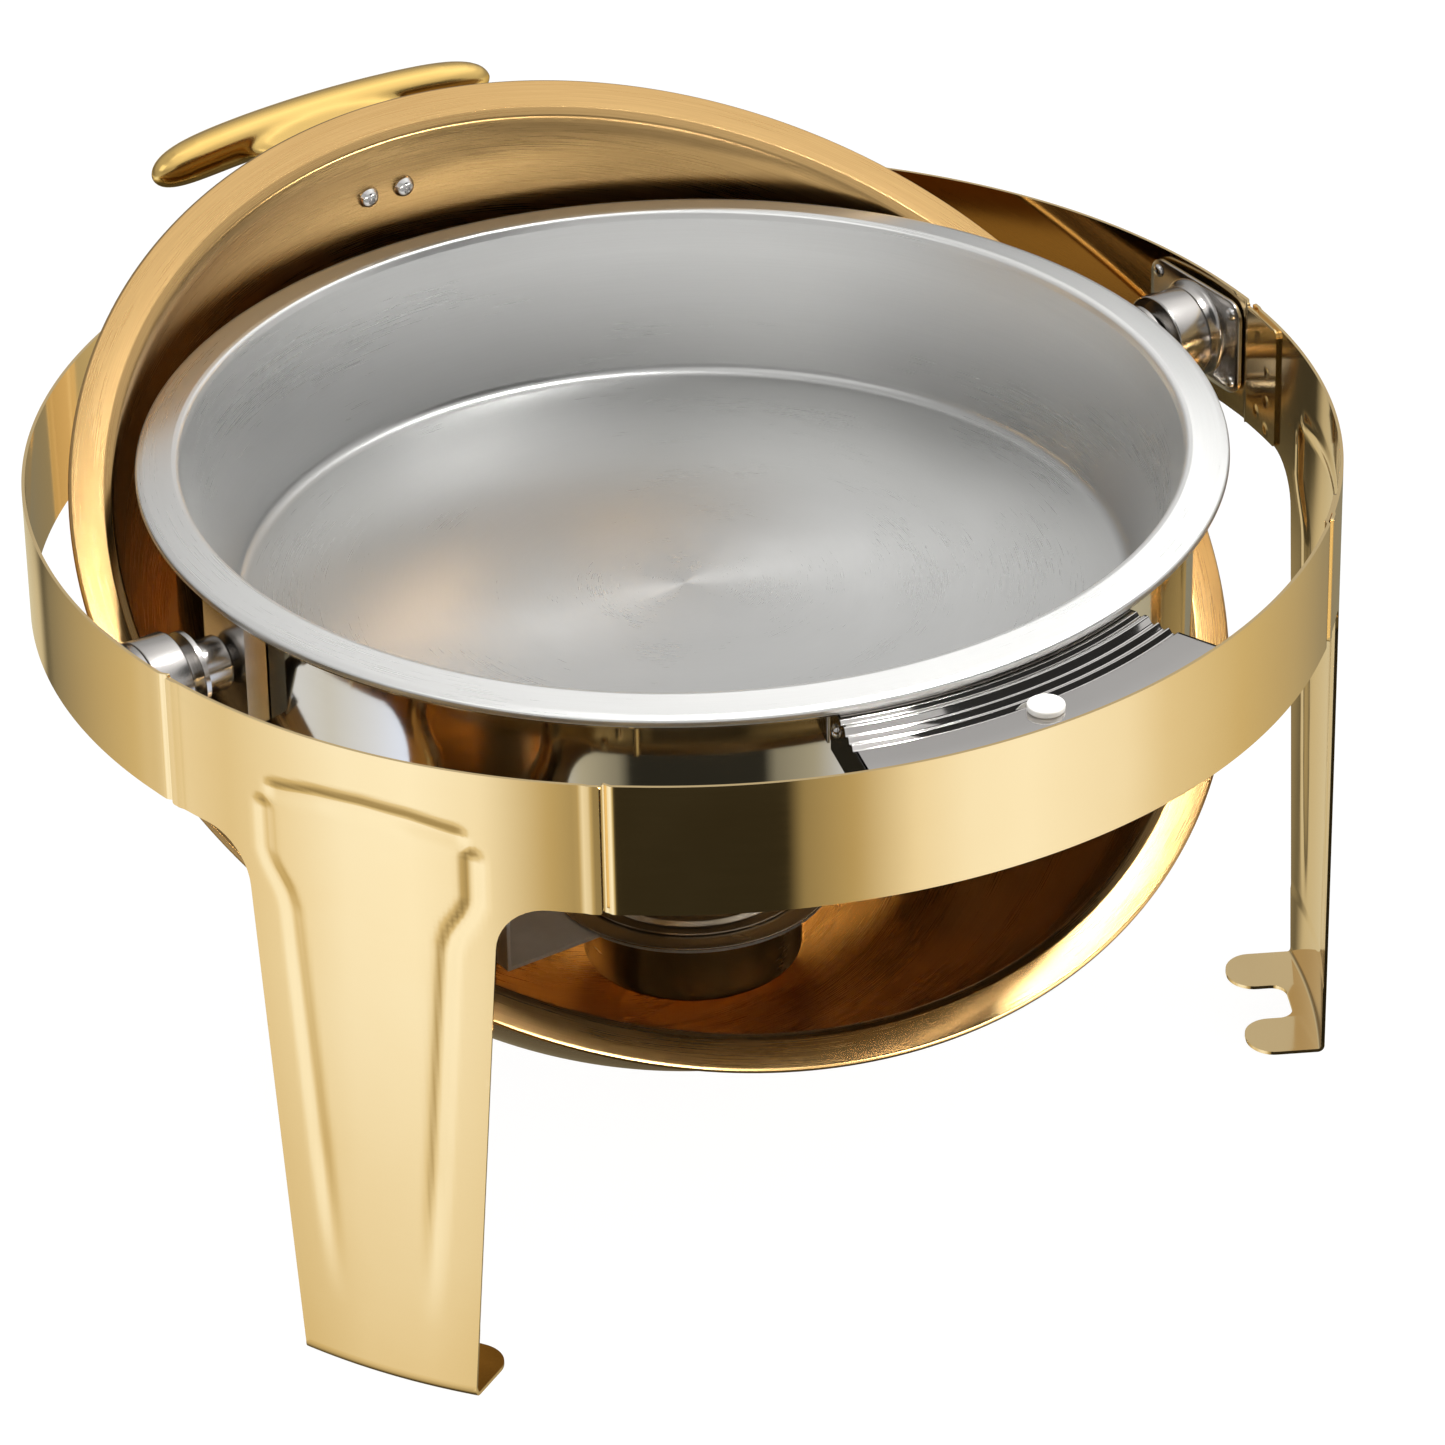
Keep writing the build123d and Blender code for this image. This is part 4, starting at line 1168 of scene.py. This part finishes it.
def pan_spot():
    """A snooted lamp hung over the dish, whose soft pool falls on the food pan's floor."""
    data = bpy.data.lights.new("pan_spot", "SPOT")
    data.energy = 330
    data.spot_size, data.spot_blend = radians(17), 0.9
    data.shadow_soft_size = 0.12
    obj = bpy.data.objects.new("pan_spot", data)
    bpy.context.scene.collection.objects.link(obj)
    position = Vector((0.35, -0.25, 1.3))
    aim = Vector((0.0, -0.05, 0.205)) - position
    obj.matrix_world = Matrix.Translation(position) @ aim.to_track_quat("-Z", "Y").to_matrix().to_4x4()


pan_spot()


def dark_flag():
    """A black card that only reflections see, beyond the ledge, so that its flutes read as dark grooves."""
    mesh = lathe("dark_flag", [(0.0, 0.0), (190.0, 0.0)], 48, closed=False)
    middle = Vector((0.174, -0.33, 0.468))
    aim = Vector((0, -0.21, 0.256)) - middle
    turn = aim.to_track_quat("Z", "Y").to_matrix().to_4x4()
    obj = add_object("dark_flag", mesh, Matrix.Translation(middle) @ turn)
    cloth = Finish("black_cloth", (0.012, 0.012, 0.012), metallic=0.0, roughness=0.95)
    cloth.color(cloth.mix_colors(cloth.noise(300.0), (0.010, 0.010, 0.010), (0.014, 0.014, 0.014)))
    mesh.materials.append(cloth.mat)
    obj.visible_camera = False
    obj.visible_diffuse = False
    obj.visible_shadow = False


dark_flag()


def camera():
    """The photograph's own viewpoint, with its small roll and shift."""
    azimuth, rise, roll, distance = radians(-33.5), radians(30.61), -0.022, 2.661
    target = Vector((0, 0, 0.144))
    back = Vector((sin(azimuth) * cos(rise), -cos(azimuth) * cos(rise), sin(rise)))
    right = Vector((cos(azimuth), sin(azimuth), 0))
    up = back.cross(right)
    right_2 = cos(roll) * right + sin(roll) * up
    up_2 = -sin(roll) * right + cos(roll) * up
    data = bpy.data.cameras.new("camera")
    data.sensor_width = 36.0
    data.lens = 178.07
    data.shift_x, data.shift_y = 0.0239, -0.0013
    data.clip_start, data.clip_end = 0.05, 60.0
    obj = bpy.data.objects.new("camera", data)
    bpy.context.scene.collection.objects.link(obj)
    turn = Matrix((right_2, up_2, back)).transposed().to_4x4()
    obj.matrix_world = Matrix.Translation(target + distance * back) @ turn
    bpy.context.scene.camera = obj


camera()
bpy.context.scene.view_settings.view_transform = "Standard"
